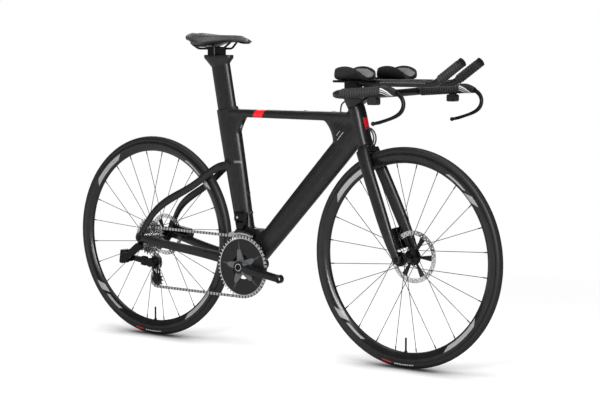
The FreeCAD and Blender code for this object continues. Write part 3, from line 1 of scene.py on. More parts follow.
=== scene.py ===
import json
import math
import bpy
import bmesh
import numpy as np
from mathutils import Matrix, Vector


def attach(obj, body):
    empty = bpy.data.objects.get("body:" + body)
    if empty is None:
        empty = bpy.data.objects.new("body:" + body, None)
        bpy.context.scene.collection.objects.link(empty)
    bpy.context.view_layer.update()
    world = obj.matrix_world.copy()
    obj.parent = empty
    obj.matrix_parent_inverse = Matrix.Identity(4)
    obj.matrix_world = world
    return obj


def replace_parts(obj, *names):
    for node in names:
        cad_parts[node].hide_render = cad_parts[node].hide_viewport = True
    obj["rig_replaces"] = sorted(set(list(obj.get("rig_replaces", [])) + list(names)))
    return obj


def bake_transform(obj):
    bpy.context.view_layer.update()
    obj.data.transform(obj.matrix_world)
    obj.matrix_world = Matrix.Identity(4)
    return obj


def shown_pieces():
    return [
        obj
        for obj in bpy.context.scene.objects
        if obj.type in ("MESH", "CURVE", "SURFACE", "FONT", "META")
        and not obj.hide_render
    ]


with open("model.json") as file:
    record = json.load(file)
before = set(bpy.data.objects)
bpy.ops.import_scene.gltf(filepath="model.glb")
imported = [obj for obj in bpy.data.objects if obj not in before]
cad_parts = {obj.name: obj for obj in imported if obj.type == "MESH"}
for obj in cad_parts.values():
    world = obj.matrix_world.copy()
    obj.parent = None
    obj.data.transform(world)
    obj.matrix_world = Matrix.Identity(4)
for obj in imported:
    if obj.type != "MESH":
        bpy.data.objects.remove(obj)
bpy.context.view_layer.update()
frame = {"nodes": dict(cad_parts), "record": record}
nodes = frame["nodes"]
bodyOf = {n: b for b, members in frame["record"]["behaviour"]["bodies"].items() for n in members}
slotOf = {p["node"]: p["material_slot"] for p in frame["record"]["subparts"]}
frontAxle = Vector((0.510, 0, 0.335))
rearAxle = Vector((-0.510, 0, 0.335))
bracket = Vector((-0.09165, 0, 0.266))
edgeSoft = 0.0004  # half width of a painted edge, where a zone of (from, to, soft) gives no other
sharpAngle = 32  # degrees between faces from which an edge stays crisp
print("frame loaded:", len(nodes), "nodes")


# helpers for shader and geometry trees
def treeNode(tree, kind, inputs=None, **settings):
    node = tree.nodes.new(kind)
    for key, value in settings.items():
        setattr(node, key, value)
    for key, value in (inputs or {}).items():
        if isinstance(value, bpy.types.NodeSocket):
            tree.links.new(value, node.inputs[key])
        else:
            node.inputs[key].default_value = value
    return node


def made(tree, kind, inputs=None, **settings):
    return treeNode(tree, kind, inputs, **settings).outputs[0]


def maths(operation, a, b=0.0):
    # works in the tree that the values come from
    tree = a.id_data if isinstance(a, bpy.types.NodeSocket) else b.id_data
    return made(tree, "ShaderNodeMath", {0: a, 1: b}, operation=operation)


def shaderOf(mat):
    return mat.node_tree.nodes["Principled BSDF"]


def newMaterial(name, color, rough, metal=0.0, coat=0.0, spec=0.5):
    mat = bpy.data.materials.new(name)
    mat.use_nodes = True
    values = {"Base Color": (*color, 1), "Roughness": rough, "Metallic": metal, "Coat Weight": coat,
              "Coat Roughness": 0.08, "Specular IOR Level": spec}
    for label, value in values.items():
        shaderOf(mat).inputs[label].default_value = value
    return mat


def addNode(mat, kind, inputs=None, **settings):
    return treeNode(mat.node_tree, kind, inputs, **settings)


def joinTo(mat, socket, name):
    mat.node_tree.links.new(socket, shaderOf(mat).inputs[name])


def drivenBy(mat, name="Base Color"):
    return shaderOf(mat).inputs[name].links[0].from_socket


def paintOver(mat, share, color):
    joinTo(mat, blendColor(share, drivenBy(mat), color), "Base Color")


def objectPlace(mat):
    return addNode(mat, "ShaderNodeTexCoord").outputs["Object"]


def splitPlace(mat, place=None):
    return addNode(mat, "ShaderNodeSeparateXYZ", {0: place or objectPlace(mat)}).outputs


def times(a, b):
    return maths("MULTIPLY", a, b)


def plus(a, b):
    return maths("ADD", a, b)


def minus(a, b):
    return maths("SUBTRACT", a, b)


def larger(a, b):
    return maths("MAXIMUM", a, b)


def repeat(value, pitch):
    return maths("FLOORED_MODULO", value, pitch)


def zigzag(value, pitch):
    return maths("PINGPONG", value, pitch)


def ramp(value, low, high, start=0.0, end=1.0):
    values = {0: value, 1: low, 2: high, 3: start, 4: end}
    return made(value.id_data, "ShaderNodeMapRange", values)


def within(value, low, high, soft=edgeSoft):
    rise = ramp(value, low - soft, low + soft)
    fall = ramp(value, high + soft, high - soft)
    return times(rise, fall)


def bands(value, pitch, width, soft=edgeSoft):
    return within(repeat(value, pitch), 0.0, width, soft)


def patchesAt(across, up, patches, softAcross=edgeSoft, softUp=edgeSoft):
    # where any patch of (low, high, foot, top) lies
    found = 0.0
    for low, high, foot, top in patches:
        patch = times(within(across, low, high, softAcross), within(up, foot, top, softUp))
        found = larger(patch, found)
    return found


def blendColor(share, a, b):
    a, b = ((*c, 1) if isinstance(c, tuple) else c for c in (a, b))
    mix = treeNode(share.id_data, "ShaderNodeMix", {0: share, 6: a, 7: b}, data_type="RGBA")
    return mix.outputs[2]


def blendValue(share, a, b):
    return made(share.id_data, "ShaderNodeMix", {0: share, 2: a, 3: b}, data_type="FLOAT")


def noise(mat, scale, detail=4.0):
    inputs = {"Vector": objectPlace(mat), "Scale": scale, "Detail": detail}
    return addNode(mat, "ShaderNodeTexNoise", inputs).outputs["Fac"]


def mottle(mat, scale, detail=4.0, start=0.0, end=1.0):
    # noise stretched to the full range
    return ramp(noise(mat, scale, detail), 0.35, 0.65, start, end)


def pebbles(mat, scale):
    inputs = {"Vector": objectPlace(mat), "Scale": scale}
    return addNode(mat, "ShaderNodeTexVoronoi", inputs).outputs["Distance"]


def tintBy(mat, scale, a, b):
    joinTo(mat, blendColor(mottle(mat, scale), a, b), "Base Color")


def wearRough(mat, scale, low, high):
    joinTo(mat, ramp(noise(mat, scale), 0.3, 0.7, low, high), "Roughness")


def bumpFrom(mat, height, strength, distance):
    inputs = {"Strength": strength, "Distance": distance, "Height": height}
    joinTo(mat, made(mat.node_tree, "ShaderNodeBump", inputs), "Normal")


# finishes: a tint has a scale and two tones, wear a scale and two values of roughness,
# and grain a scale, detail, strength and depth
carbonLook = {"color": (0.0050, 0.0050, 0.0053), "rough": 0.36, "spec": 0.34,
              "tint": (90, (0.0050, 0.0050, 0.0053), (0.0090, 0.0090, 0.0094)),
              "wear": (14, 0.30, 0.42), "grain": (2600, 2, 0.10, 0.0002)}
glossLook = {"color": (0.005, 0.005, 0.0055), "rough": 0.26, "coat": 0.08, "spec": 0.22,
             "tint": (60, (0.004, 0.004, 0.0045), (0.007, 0.007, 0.0075)), "wear": (30, 0.22, 0.34)}


def shaded(color, share):
    return tuple(share * c for c in color)


def alloyLook(color, rough):
    return {"color": color, "rough": rough, "metal": 1.0, "tint": (220, shaded(color, 0.82), color),
            "wear": (160, rough - 0.07, rough + 0.08), "grain": (1800, 2, 0.12, 0.0002)}


def plasticLook(color, rough):
    return {"color": color, "rough": rough, "spec": 0.16,
            "tint": (140, shaded(color, 0.8), shaded(color, 1.15)),
            "wear": (60, rough - 0.06, rough + 0.08), "grain": (1500, 3, 0.25, 0.0002)}


def layered(name, look):
    mat = newMaterial(name, look["color"], look["rough"], look.get("metal", 0.0),
                      look.get("coat", 0.0), look.get("spec", 0.5))
    tintBy(mat, *look["tint"])
    wearRough(mat, *look["wear"])
    if "grain" in look:
        scale, detail, strength, depth = look["grain"]
        bumpFrom(mat, noise(mat, scale, detail), strength, depth)
    return mat


finishes = {
    "carbon": layered("carbonMatte", carbonLook),
    "carbon_gloss": layered("carbonGloss", glossLook),
    "black_alloy": layered("blackAnodised", alloyLook((0.022, 0.022, 0.0235), 0.34)),
    "silver_alloy": layered("satinSilver", alloyLook((0.62, 0.63, 0.65), 0.28)),
    "steel": layered("brightSteel", alloyLook((0.52, 0.52, 0.53), 0.30)),
    "dark_steel": layered("blackSteel", alloyLook((0.030, 0.030, 0.032), 0.34)),
    "grip": layered("gripRubber", plasticLook((0.018, 0.018, 0.019), 0.66)),
    "plastic": layered("satinPlastic", plasticLook((0.015, 0.015, 0.016), 0.40)),
    "brake_lining": layered("brakeLining", plasticLook((0.10, 0.085, 0.075), 0.70))}
print("finishes:", len(finishes))


# carrying the CAD pieces over, with merged points and smooth faces
def linkNew(name, data):
    obj = bpy.data.objects.new(name, data)
    bpy.context.scene.collection.objects.link(obj)
    return obj


def bakedMesh(obj):
    # the result of an object's modifiers as a plain mesh; the object goes
    whole = obj.evaluated_get(bpy.context.evaluated_depsgraph_get())
    mesh = bpy.data.meshes.new_from_object(whole)
    bpy.data.objects.remove(obj)
    return mesh


def smoothFaces(mesh, angle):
    mesh.polygons.foreach_set("use_smooth", [True] * len(mesh.polygons))
    mesh.set_sharp_from_angle(angle=math.radians(angle))


def coated(mesh, mat, angle):
    mesh.materials.clear()
    mesh.materials.append(mat)
    smoothFaces(mesh, angle)
    return mesh


def seatPiece(obj, body, slotName, *replaced):
    if replaced:
        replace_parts(obj, *replaced)
    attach(obj, body)


def seatNode(obj, nodeName):
    seatPiece(obj, bodyOf[nodeName], slotOf[nodeName], nodeName)


def mergedMesh(nodeName):
    mesh = nodes[nodeName].data.copy()
    if "custom_normal" in mesh.attributes:
        mesh.attributes.remove(mesh.attributes["custom_normal"])
    shell = bmesh.new()
    shell.from_mesh(mesh)
    bmesh.ops.remove_doubles(shell, verts=shell.verts, dist=0.000002)
    shell.to_mesh(mesh)
    shell.free()
    return mesh


def dress(nodeName, mat):
    mesh = coated(mergedMesh(nodeName), mat, sharpAngle)
    seatNode(linkNew(nodeName + "Dressed", mesh), nodeName)


# round pieces turned about the axle
def arcPoints(a, b, c, steps):
    # points on the circle through a, b and c, as (radius, across) pairs
    a, b, c = (np.array(p, float) for p in (a, b, c))
    mid = np.linalg.solve(2 * np.array([b - a, c - a]), [b @ b - a @ a, c @ c - a @ a])
    reach = np.linalg.norm(a - mid)
    turns = np.unwrap([math.atan2(p[1] - mid[1], p[0] - mid[0]) for p in (a, b, c)])
    return [(mid[0] + reach * math.cos(t), mid[1] + reach * math.sin(t))
            for t in np.linspace(turns[0], turns[2], steps + 1)]


def turnedMesh(name, center, outline, steps):
    # a closed outline of (radius, across) pairs spun about the axle, with a UV map round and across
    shell = bmesh.new()
    rings = []
    for i in range(steps):
        a = 2 * math.pi * i / steps
        rings.append([shell.verts.new((center.x + r * math.cos(a), center.y + y,
                                       center.z + r * math.sin(a))) for r, y in outline])
    uv = shell.loops.layers.uv.new("UVMap")
    count = len(outline)
    for i in range(steps):
        ring, following = rings[i], rings[(i + 1) % steps]
        for k in range(count):
            m = (k + 1) % count
            face = shell.faces.new((ring[k], ring[m], following[m], following[k]))
            corners = ((i, k), (i, k + 1), (i + 1, k + 1), (i + 1, k))
            for loop, (u, v) in zip(face.loops, corners):
                loop[uv].uv = (u / steps, v / count)
    bmesh.ops.recalc_face_normals(shell, faces=shell.faces)
    mesh = bpy.data.meshes.new(name)
    shell.to_mesh(mesh)
    shell.free()
    return mesh


tyreLook = {
    "crown": 0.335, "shoulder": 0.3176, "bead": 0.0109, "seat": 0.3113, "steps": 288, "arcSteps": 26,
    "base": (0.010, 0.010, 0.0105), "side": (0.009, 0.009, 0.0095), "tread": (0.014, 0.014, 0.0145),
    "treadZone": (-0.0072, 0.0072, 0.0006),
    "red": (0.50, 0.010, 0.015), "white": (0.55, 0.55, 0.55), "row": (0.3215, 0.3245, 0.0003),
    "dash": (-104.0, -98.0, 0.1), "ticks": (-96.0, -84.0, 0.1), "tick": (1.6, 0.9, 0.1), "angle": 40,
    "rough": (0.46, 0.70), "cutPitch": 0.6, "cutLean": 900, "cutZone": (0.0042, 0.0080),
    "threadPitch": 0.0008, "threadGain": 300, "grain": (900, 3), "bump": (0.25, 0.0004)}
rimLook = {
    "bed": 0.311, "hook": 0.3168, "hookIn": 0.0111, "lip": 0.0115, "lipDrop": 0.0004, "hookOut": 0.0127,
    "belly": (0.3017, 0.0126), "flank": (0.2908, 0.007), "nose": 0.2858, "steps": 288,
    "flankSteps": 10, "noseSteps": 8, "base": (0.010, 0.010, 0.0105),
    "dust": (45, (0.005, 0.005, 0.0055), (0.009, 0.009, 0.0095)),
    "mark": (0.27, 0.27, 0.28), "rough": (0.24, 0.42), "lean": 320, "leanFrom": 0.300, "repeat": 180.0,
    "angle": 40, "markSoft": (0.15, 0.0003),
    "marks": [(120, 146, 0.2935, 0.3065), (36, 43, 0.2915, 0.3095), (46, 60, 0.2965, 0.3035)]}


def wheelPlace(mat, center):
    # angle round the axle in degrees, distance from it, and place across
    inputs = {0: objectPlace(mat), 1: tuple(center)}
    shifted = made(mat.node_tree, "ShaderNodeVectorMath", inputs, operation="SUBTRACT")
    x, y, z = splitPlace(mat, shifted)
    angle = times(maths("ARCTAN2", z, x), 180 / math.pi)
    flat = maths("SQRT", plus(times(x, x), times(z, z)))
    return angle, flat, y


def tyreFinish(name, center):
    look = tyreLook
    mat = newMaterial(name, look["base"], 0.6, spec=0.3)
    angle, flat, across = wheelPlace(mat, center)
    tread = within(across, *look["treadZone"])
    joinTo(mat, blendColor(tread, look["side"], look["tread"]), "Base Color")
    row = within(flat, *look["row"])
    dash = times(row, within(angle, *look["dash"]))
    ticks = times(row, bands(angle, *look["tick"]))
    ticks = times(ticks, within(angle, *look["ticks"]))
    paintOver(mat, dash, look["red"])
    paintOver(mat, ticks, look["white"])
    joinTo(mat, blendValue(tread, *look["rough"]), "Roughness")
    lean = plus(angle, times(across, look["cutLean"]))
    zone = within(maths("ABSOLUTE", across), *look["cutZone"])
    cut = times(zigzag(lean, look["cutPitch"]), zone)
    threads = times(zigzag(flat, look["threadPitch"]), look["threadGain"])
    height = plus(cut, times(threads, minus(1.0, tread)))
    bumpFrom(mat, plus(height, noise(mat, *look["grain"])), *look["bump"])
    return mat


def rimFinish(name, center):
    look = rimLook
    mat = newMaterial(name, look["base"], 0.25, coat=0.12, spec=0.3)
    angle, flat, across = wheelPlace(mat, center)
    slant = plus(angle, times(minus(flat, look["leanFrom"]), look["lean"]))
    mark = patchesAt(repeat(slant, look["repeat"]), flat, look["marks"], *look["markSoft"])
    tintBy(mat, *look["dust"])
    paintOver(mat, mark, look["mark"])
    joinTo(mat, blendValue(mark, *look["rough"]), "Roughness")
    return mat


def tyreOutline():
    t = tyreLook
    outer = arcPoints((t["shoulder"], t["bead"]), (t["crown"], 0), (t["shoulder"], -t["bead"]), t["arcSteps"])
    return [(t["seat"], t["bead"])] + outer + [(t["seat"], -t["bead"])]


def rimOutline():
    r = rimLook
    flank = arcPoints((r["hook"], r["hookOut"]), r["belly"], r["flank"], r["flankSteps"])
    nose = arcPoints(r["flank"], (r["nose"], 0), (r["flank"][0], -r["flank"][1]), r["noseSteps"])
    inner = [(r["bed"], r["hookIn"]), (r["hook"] - r["lipDrop"], r["hookIn"]), (r["hook"], r["lip"])]
    half = inner + flank
    return half + nose[1:-1] + [(a, -b) for a, b in reversed(half)]


def buildTyreAndRim(end, center):
    tyre = turnedMesh(end + "Tyre", center, tyreOutline(), tyreLook["steps"])
    rim = turnedMesh(end + "Rim", center, rimOutline(), rimLook["steps"])
    coated(tyre, tyreFinish(end + "TyreRubber", center), tyreLook["angle"])
    coated(rim, rimFinish(end + "RimLacquer", center), rimLook["angle"])
    seatNode(linkNew(end + "TyreTurned", tyre), end + "_tyre")
    seatNode(linkNew(end + "RimTurned", rim), end + "_rim")


buildTyreAndRim("front", frontAxle)
buildTyreAndRim("rear", rearAxle)
print("tyres and rims turned")


# laminate pieces: joints between tubes rounded as one moulding, then painted
moulding = {"shrink": 0.5, "regrow": 0.52, "before": 3, "after": 2, "creep": 0.55, "hollow": 0.00002,
            "angle": 60}  # shares of a step, rounds of evening, and the angle of crisp edges
frameLook = {
    "voxel": 0.0024, "rounds": 90, "cap": 0.009,
    "keepClear": [((-0.09165, 0, 0.266), (0, 1, 0), 0.030),
                  ((0.36, 0, 0.668), (-0.3007, 0, 0.9537), 0.0195),
                  ((-0.51, 0, 0.335), (0, 1, 0), 0.022)],
    "red": (0.62, 0.012, 0.018), "silver": (0.34, 0.34, 0.35), "gloss": (0.003, 0.003, 0.0032),
    "glossRough": 0.24, "upward": (0.20, 0.45), "slant": -2.0, "ribs": (0.0137, 0.0070),
    "hairs": (0.0057, 0.0020, 0.0002),
    "areas": {  # lean with height, then patches
        "plate": (-0.55, [(-0.483, -0.444, 0.738, 0.790)]),
        "nose": (0.2686, [(0.5590, 0.700, 0.7180, 0.7545)]),
        "bars": (-0.915, [(-0.4291, -0.4230, 0.706, 0.7425), (-0.4177, -0.4082, 0.706, 0.7425),
                          (-0.4002, -0.3941, 0.700, 0.7425), (-0.3800, -0.3770, 0.714, 0.7280)]),
        "lines": (-0.915, [(-0.3772, -0.3748, 0.697, 0.7110), (-0.3613, -0.3587, 0.683, 0.7080)]),
        "ribs": (0.0, [(-0.200, -0.150, 0.5780, 0.6030)]),
        "hairs": (0.0, [(-0.150, -0.122, 0.5955, 0.6030)]),
        "band": (-0.95, [(-0.352, -0.331, 0.40, 0.655)]),
        "stays": (0.0, [(-0.520, -0.190, 0.372, 0.640)])}}
postLook = {"voxel": 0.0018, "rounds": 140, "cap": 0.010, "keepClear": []}
forkLook = {"voxel": 0.0018, "rounds": 60, "cap": 0.006,
            "keepClear": [((0.51, 0, 0.335), (0, 1, 0), 0.020)]}


def remeshed(mesh, voxel):
    obj = linkNew("scratchShell", mesh)
    step = obj.modifiers.new("voxels", "REMESH")
    step.mode = "VOXEL"
    step.voxel_size = voxel
    return bakedMesh(obj)


def meshArrays(mesh):
    places = np.empty(len(mesh.vertices) * 3)
    mesh.vertices.foreach_get("co", places)
    edges = np.empty(len(mesh.edges) * 2, int)
    mesh.edges.foreach_get("vertices", edges)
    return places.reshape(-1, 3), edges.reshape(-1, 2)


def setPlaces(mesh, places):
    mesh.vertices.foreach_set("co", places.ravel())
    mesh.update()


def vertexNormals(mesh):
    normals = np.empty(len(mesh.vertices) * 3)
    mesh.vertex_normals.foreach_get("vector", normals)
    return normals.reshape(-1, 3)


def degreeOf(places, edges):
    return np.maximum(np.bincount(edges.ravel(), minlength=len(places)), 1)


def pull(places, edges, degree):
    # from each point to the mean of its neighbours
    total = np.zeros_like(places)
    for k in range(3):
        total[:, k] = (np.bincount(edges[:, 0], places[edges[:, 1], k], len(places))
                       + np.bincount(edges[:, 1], places[edges[:, 0], k], len(places)))
    return total / degree[:, None] - places


def evenOut(places, edges, degree, rounds):
    # shrinking and regrowing takes out the steps of the voxels and keeps the size
    for turn in range(rounds):
        places += moulding["shrink"] * pull(places, edges, degree)
        places -= moulding["regrow"] * pull(places, edges, degree)


def awayFromBores(places, bores):
    free = np.ones(len(places), bool)
    for point, axis, reach in bores:
        away = places - np.array(point)
        line = np.array(axis) / np.linalg.norm(axis)
        away -= np.outer(away @ line, line)
        free &= np.linalg.norm(away, axis=1) > reach
    return free


def roundInnerCorners(mesh, look):
    # points in hollow corners creep outwards, so tubes flow into each other; bores keep their walls
    places, edges = meshArrays(mesh)
    degree = degreeOf(places, edges)
    evenOut(places, edges, degree, moulding["before"])
    start = places.copy()
    free = awayFromBores(places, look["keepClear"])
    setPlaces(mesh, places)
    normals = vertexNormals(mesh)
    for turn in range(look["rounds"]):
        step = pull(places, edges, degree)
        outward = np.einsum("ij,ij->i", step, normals)
        moving = free & (outward > moulding["hollow"])
        places[moving] += moulding["creep"] * step[moving]
        shift = places - start
        size = np.linalg.norm(shift, axis=1)
        far = size > look["cap"]
        places[far] = start[far] + shift[far] * (look["cap"] / size[far])[:, None]
    evenOut(places, edges, degree, moulding["after"])
    setPlaces(mesh, places)


def moulded(nodeName, look, mat):
    mesh = remeshed(mergedMesh(nodeName), look["voxel"])
    roundInnerCorners(mesh, look)
    coated(mesh, mat, moulding["angle"])
    seatNode(linkNew(nodeName + "Moulded", mesh), nodeName)
    print(nodeName, "moulded:", len(mesh.polygons), "faces")


def leaning(x, z, slope):
    return plus(x, times(z, slope))


def facingUp(mat, low, high):
    normal = addNode(mat, "ShaderNodeNewGeometry").outputs["Normal"]
    return ramp(splitPlace(mat, normal)[2], low, high)


def framePaint():
    look = frameLook
    mat = layered("framePaint", carbonLook)
    matte = drivenBy(mat, "Roughness")
    x, y, z = splitPlace(mat)
    area = {name: patchesAt(leaning(x, z, lean), z, patches)
            for name, (lean, patches) in look["areas"].items()}
    slant = leaning(x, z, look["slant"])
    rib = bands(slant, *look["ribs"])
    hair = bands(slant, *look["hairs"])
    stays = times(area["stays"], facingUp(mat, *look["upward"]))
    shine = larger(larger(area["bars"], times(area["ribs"], rib)), larger(area["band"], stays))
    pale = larger(area["lines"], times(area["hairs"], hair))
    red = larger(area["plate"], area["nose"])
    paintOver(mat, shine, look["gloss"])
    paintOver(mat, pale, look["silver"])
    paintOver(mat, red, look["red"])
    joinTo(mat, blendValue(larger(shine, red), matte, look["glossRough"]), "Roughness")
    return mat


moulded("frame", frameLook, framePaint())
moulded("fork", forkLook, finishes["carbon"])
moulded("seatpost", postLook, finishes["carbon"])


# node trees for what repeats
def newTree(name, sizes):
    # sizes are lists of labels by kind of socket
    tree = bpy.data.node_groups.new(name, "GeometryNodeTree")
    tree.interface.new_socket("Geometry", in_out="OUTPUT", socket_type="NodeSocketGeometry")
    for kind, labels in {"Geometry": ["Geometry"], "Material": ["Material"], **sizes}.items():
        for label in labels:
            tree.interface.new_socket(label, in_out="INPUT", socket_type="NodeSocket" + kind)
    return tree, treeNode(tree, "NodeGroupInput").outputs


def shaped(tree, kind, inputs, **settings):
    return made(tree, "GeometryNode" + kind, inputs, **settings)


def headingTurn(heading):
    return made(heading.id_data, "FunctionNodeAlignRotationToVector", {"Vector": heading}, axis="Z")


def raisedBy(geometry, height):
    tree = geometry.id_data
    lift = made(tree, "ShaderNodeCombineXYZ", {2: height})
    return shaped(tree, "Transform", {"Geometry": geometry, "Translation": lift})


def endTree(tree, given, geometry):
    whole = shaped(tree, "RealizeInstances", {0: geometry})
    dressed = shaped(tree, "SetMaterial", {"Geometry": whole, "Material": given["Material"]})
    treeNode(tree, "NodeGroupOutput", {0: dressed})
    return tree


def grown(name, carrier, tree, values):
    obj = linkNew(name + "Carrier", carrier)
    step = obj.modifiers.new("grow", "NODES")
    step.node_group = tree
    for item in tree.interface.items_tree:
        if item.in_out == "INPUT" and item.name in values:
            step[item.identifier] = values[item.name]
    return bakedMesh(obj)


def joinedMesh(name, meshes):
    shell = bmesh.new()
    materials = []
    for mesh in meshes:
        before = len(shell.faces)
        shell.from_mesh(mesh)
        shell.faces.ensure_lookup_table()
        for face in shell.faces[before:]:
            mat = mesh.materials[face.material_index]
            if mat not in materials:
                materials.append(mat)
            face.material_index = materials.index(mat)
    whole = bpy.data.meshes.new(name)
    shell.to_mesh(whole)
    shell.free()
    for mat in materials:
        whole.materials.append(mat)
    return whole


# padded pieces: a slightly slimmer copy of the solid, swollen by cloth under pressure
softLook = {"saddle": {"voxel": 0.0042, "slim": 0.0014, "cap": 0.0026, "pressure": 4.0},
            "armPads": {"voxel": 0.0040, "slim": 0.0013, "cap": 0.0022, "pressure": 4.0}}
swelling = {"quality": 5, "frames": 20, "ease": 0.4, "easeRounds": 2}


def swollen(nodeName, look):
    mesh = remeshed(mergedMesh(nodeName), look["voxel"])
    places, edges = meshArrays(mesh)
    places -= look["slim"] * vertexNormals(mesh)
    setPlaces(mesh, places)
    obj = linkNew(nodeName + "Swelling", mesh)
    cloth = obj.modifiers.new("swell", "CLOTH")
    cloth.settings.use_pressure = True
    cloth.settings.uniform_pressure_force = look["pressure"]
    cloth.settings.effector_weights.gravity = 0
    cloth.settings.quality = swelling["quality"]
    scene = bpy.context.scene
    for step in range(1, swelling["frames"] + 1):
        scene.frame_set(step)
    result = bakedMesh(obj)
    moved, edges = meshArrays(result)
    shift = moved - places
    size = np.maximum(np.linalg.norm(shift, axis=1), 1e-9)
    places = places + shift * np.minimum(1.0, look["cap"] / size)[:, None]
    degree = degreeOf(places, edges)
    for turn in range(swelling["easeRounds"]):
        places += swelling["ease"] * pull(places, edges, degree)
    setPlaces(result, places)
    scene.frame_set(1)
    return result


def finer(mesh):
    obj = linkNew("finerCarrier", mesh)
    step = obj.modifiers.new("finer", "SUBSURF")
    step.levels = step.render_levels = 1
    return bakedMesh(obj)


saddleLook = {
    "channelFrom": -0.262, "channelEase": 0.05, "channelTo": -0.087, "channelHalf": 0.0075,
    "channelDepth": 0.011, "channelSharp": 1.5, "topFrom": 0.1, "topSpan": 0.4,
    "noseCut": 0.014, "noseBack": 0.022, "noseEase": 0.018,
    "skin": (0.030, 0.030, 0.032), "tint": (120, (0.024, 0.024, 0.026), (0.036, 0.036, 0.038)),
    "side": (0.010, 0.010, 0.011), "sideShare": 0.5, "upward": (0.25, 0.45), "wear": (60, 0.42, 0.58),
    "grain": 900.0, "bump": (0.25, 0.0003),
    "line": (0.62, 0.62, 0.62), "lineEdges": (-0.0002, 0.0016), "lineSoft": 0.0003,
    "lineRun": (-0.172, -0.090, 0.001),
    "dotRadius": 0.0012, "dotSpacing": 0.0085, "dotFlat": 0.22, "dotsFrom": (-0.290, 0.026, 1.06),
    # dark and its tint colour the dots: painted shade of the punched holes
    "dotColumns": 6, "dotRows": 4, "rayLength": 0.2, "dark": (0.004, 0.004, 0.004),
    "holeShadeTint": (200, (0.003, 0.003, 0.003), (0.006, 0.006, 0.006))}


def saddleSkin():
    look = saddleLook
    mat = newMaterial("saddleSkin", look["skin"], 0.5)
    x, y, z = splitPlace(mat)
    upward = facingUp(mat, *look["upward"])
    inner, outer = (look["channelHalf"] + shift for shift in look["lineEdges"])
    edge = within(maths("ABSOLUTE", y), inner, outer, look["lineSoft"])
    line = times(times(edge, upward), within(x, *look["lineRun"]))
    tintBy(mat, *look["tint"])
    paintOver(mat, blendValue(upward, look["sideShare"], 0.0), look["side"])
    paintOver(mat, line, look["line"])
    wearRough(mat, *look["wear"])
    bumpFrom(mat, pebbles(mat, look["grain"]), *look["bump"])
    return mat


def cutChannel(mesh):
    # the sewn groove along the middle, which splits the nose
    look = saddleLook
    places, edges = meshArrays(mesh)
    normals = vertexNormals(mesh)
    x, y = places[:, 0], places[:, 1]
    near = np.clip(1 - (np.abs(y) / look["channelHalf"]) ** 2, 0, 1) ** look["channelSharp"]
    run = np.clip((x - look["channelFrom"]) / look["channelEase"], 0, 1)
    run = run * run * (3 - 2 * run)
    top = np.clip((normals[:, 2] - look["topFrom"]) / look["topSpan"], 0, 1)
    places[:, 2] -= look["channelDepth"] * near * run * top
    tip = np.clip((x - (look["channelTo"] - look["noseBack"])) / look["noseEase"], 0, 1)
    places[:, 0] -= look["noseCut"] * near * tip
    setPlaces(mesh, places)


def dotTree():
    # dark discs in staggered rows, laid down on the skin from above: painted shade where the punched holes
    # are
    sizes = {"Vector": ["From"], "Int": ["Columns", "Rows"], "Float": ["Spacing", "Radius"]}
    tree, given = newTree("punchedDots", sizes)
    wide, deep = (times(given["Spacing"], minus(given[way], 1)) for way in ("Columns", "Rows"))
    grid = shaped(tree, "MeshGrid", {"Size X": wide, "Size Y": deep, "Vertices X": given["Columns"],
                                     "Vertices Y": given["Rows"]})
    grid = shaped(tree, "Transform", {"Geometry": grid, "Translation": given["From"]})
    rays = {"Target Geometry": given["Geometry"], "Ray Direction": (0, 0, -1),
            "Ray Length": saddleLook["rayLength"]}
    hit = treeNode(tree, "GeometryNodeRaycast", rays).outputs
    laid = shaped(tree, "SetPosition", {"Geometry": grid, "Position": hit["Hit Position"]})
    disc = shaped(tree, "MeshUVSphere", {"Segments": 10, "Rings": 5, "Radius": given["Radius"]})
    disc = shaped(tree, "Transform", {"Geometry": disc, "Scale": (1, 1, saddleLook["dotFlat"])})
    dots = shaped(tree, "InstanceOnPoints", {"Points": laid, "Selection": hit["Is Hit"], "Instance": disc,
                                             "Rotation": headingTurn(hit["Hit Normal"])})
    return endTree(tree, given, dots)


def dotRows(mesh):
    look = saddleLook
    # the dots' near-black colour and its tint are painted shade inside the punched holes
    dark = newMaterial("punchedHoleShade", look["dark"], 0.8)
    tintBy(dark, *look["holeShadeTint"])
    tree = dotTree()
    fromX, fromY, above = look["dotsFrom"]
    rows = []
    for side in (-1, 1):
        for stagger in (0.0, 0.5):
            shift = stagger * look["dotSpacing"]
            values = {"From": (fromX + shift, side * (fromY + shift), above), "Columns": look["dotColumns"],
                      "Rows": look["dotRows"], "Spacing": look["dotSpacing"], "Radius": look["dotRadius"],
                      "Material": dark}
            rows.append(grown("saddleDots", mesh.copy(), tree, values))
    return rows


def buildSaddle():
    mesh = finer(swollen("saddle_cover", softLook["saddle"]))
    cutChannel(mesh)
    coated(mesh, saddleSkin(), 70)
    rows = dotRows(mesh)
    cover = linkNew("saddleCoverSewn", mesh)
    seatPiece(cover, "seatpost", "cover", "saddle_cover")
    dots = joinedMesh("saddleDots", rows)
    smoothFaces(dots, 60)
    seatPiece(linkNew("saddleDots", dots), "seatpost", "cover")
    print("saddle sewn:", len(mesh.polygons), "faces")


padLook = {"color": (0.110, 0.110, 0.113), "rough": 0.85, "wear": (90, 0.78, 0.92), "sheen": 0.25,
           "tint": (160, (0.090, 0.090, 0.092), (0.140, 0.140, 0.144)), "weave": 700.0, "bump": (0.4, 0.0004)}


def padCloth():
    mat = layered("padCloth", padLook)
    bumpFrom(mat, pebbles(mat, padLook["weave"]), *padLook["bump"])
    shaderOf(mat).inputs["Sheen Weight"].default_value = padLook["sheen"]
    return mat


def buildArmPads():
    mesh = coated(finer(swollen("arm_pads", softLook["armPads"])), padCloth(), 70)
    pads = linkNew("armPadsSewn", mesh)
    seatPiece(pads, "steering", "foam", "arm_pads")
    print("arm pads sewn:", len(mesh.polygons), "faces")


buildSaddle()
buildArmPads()


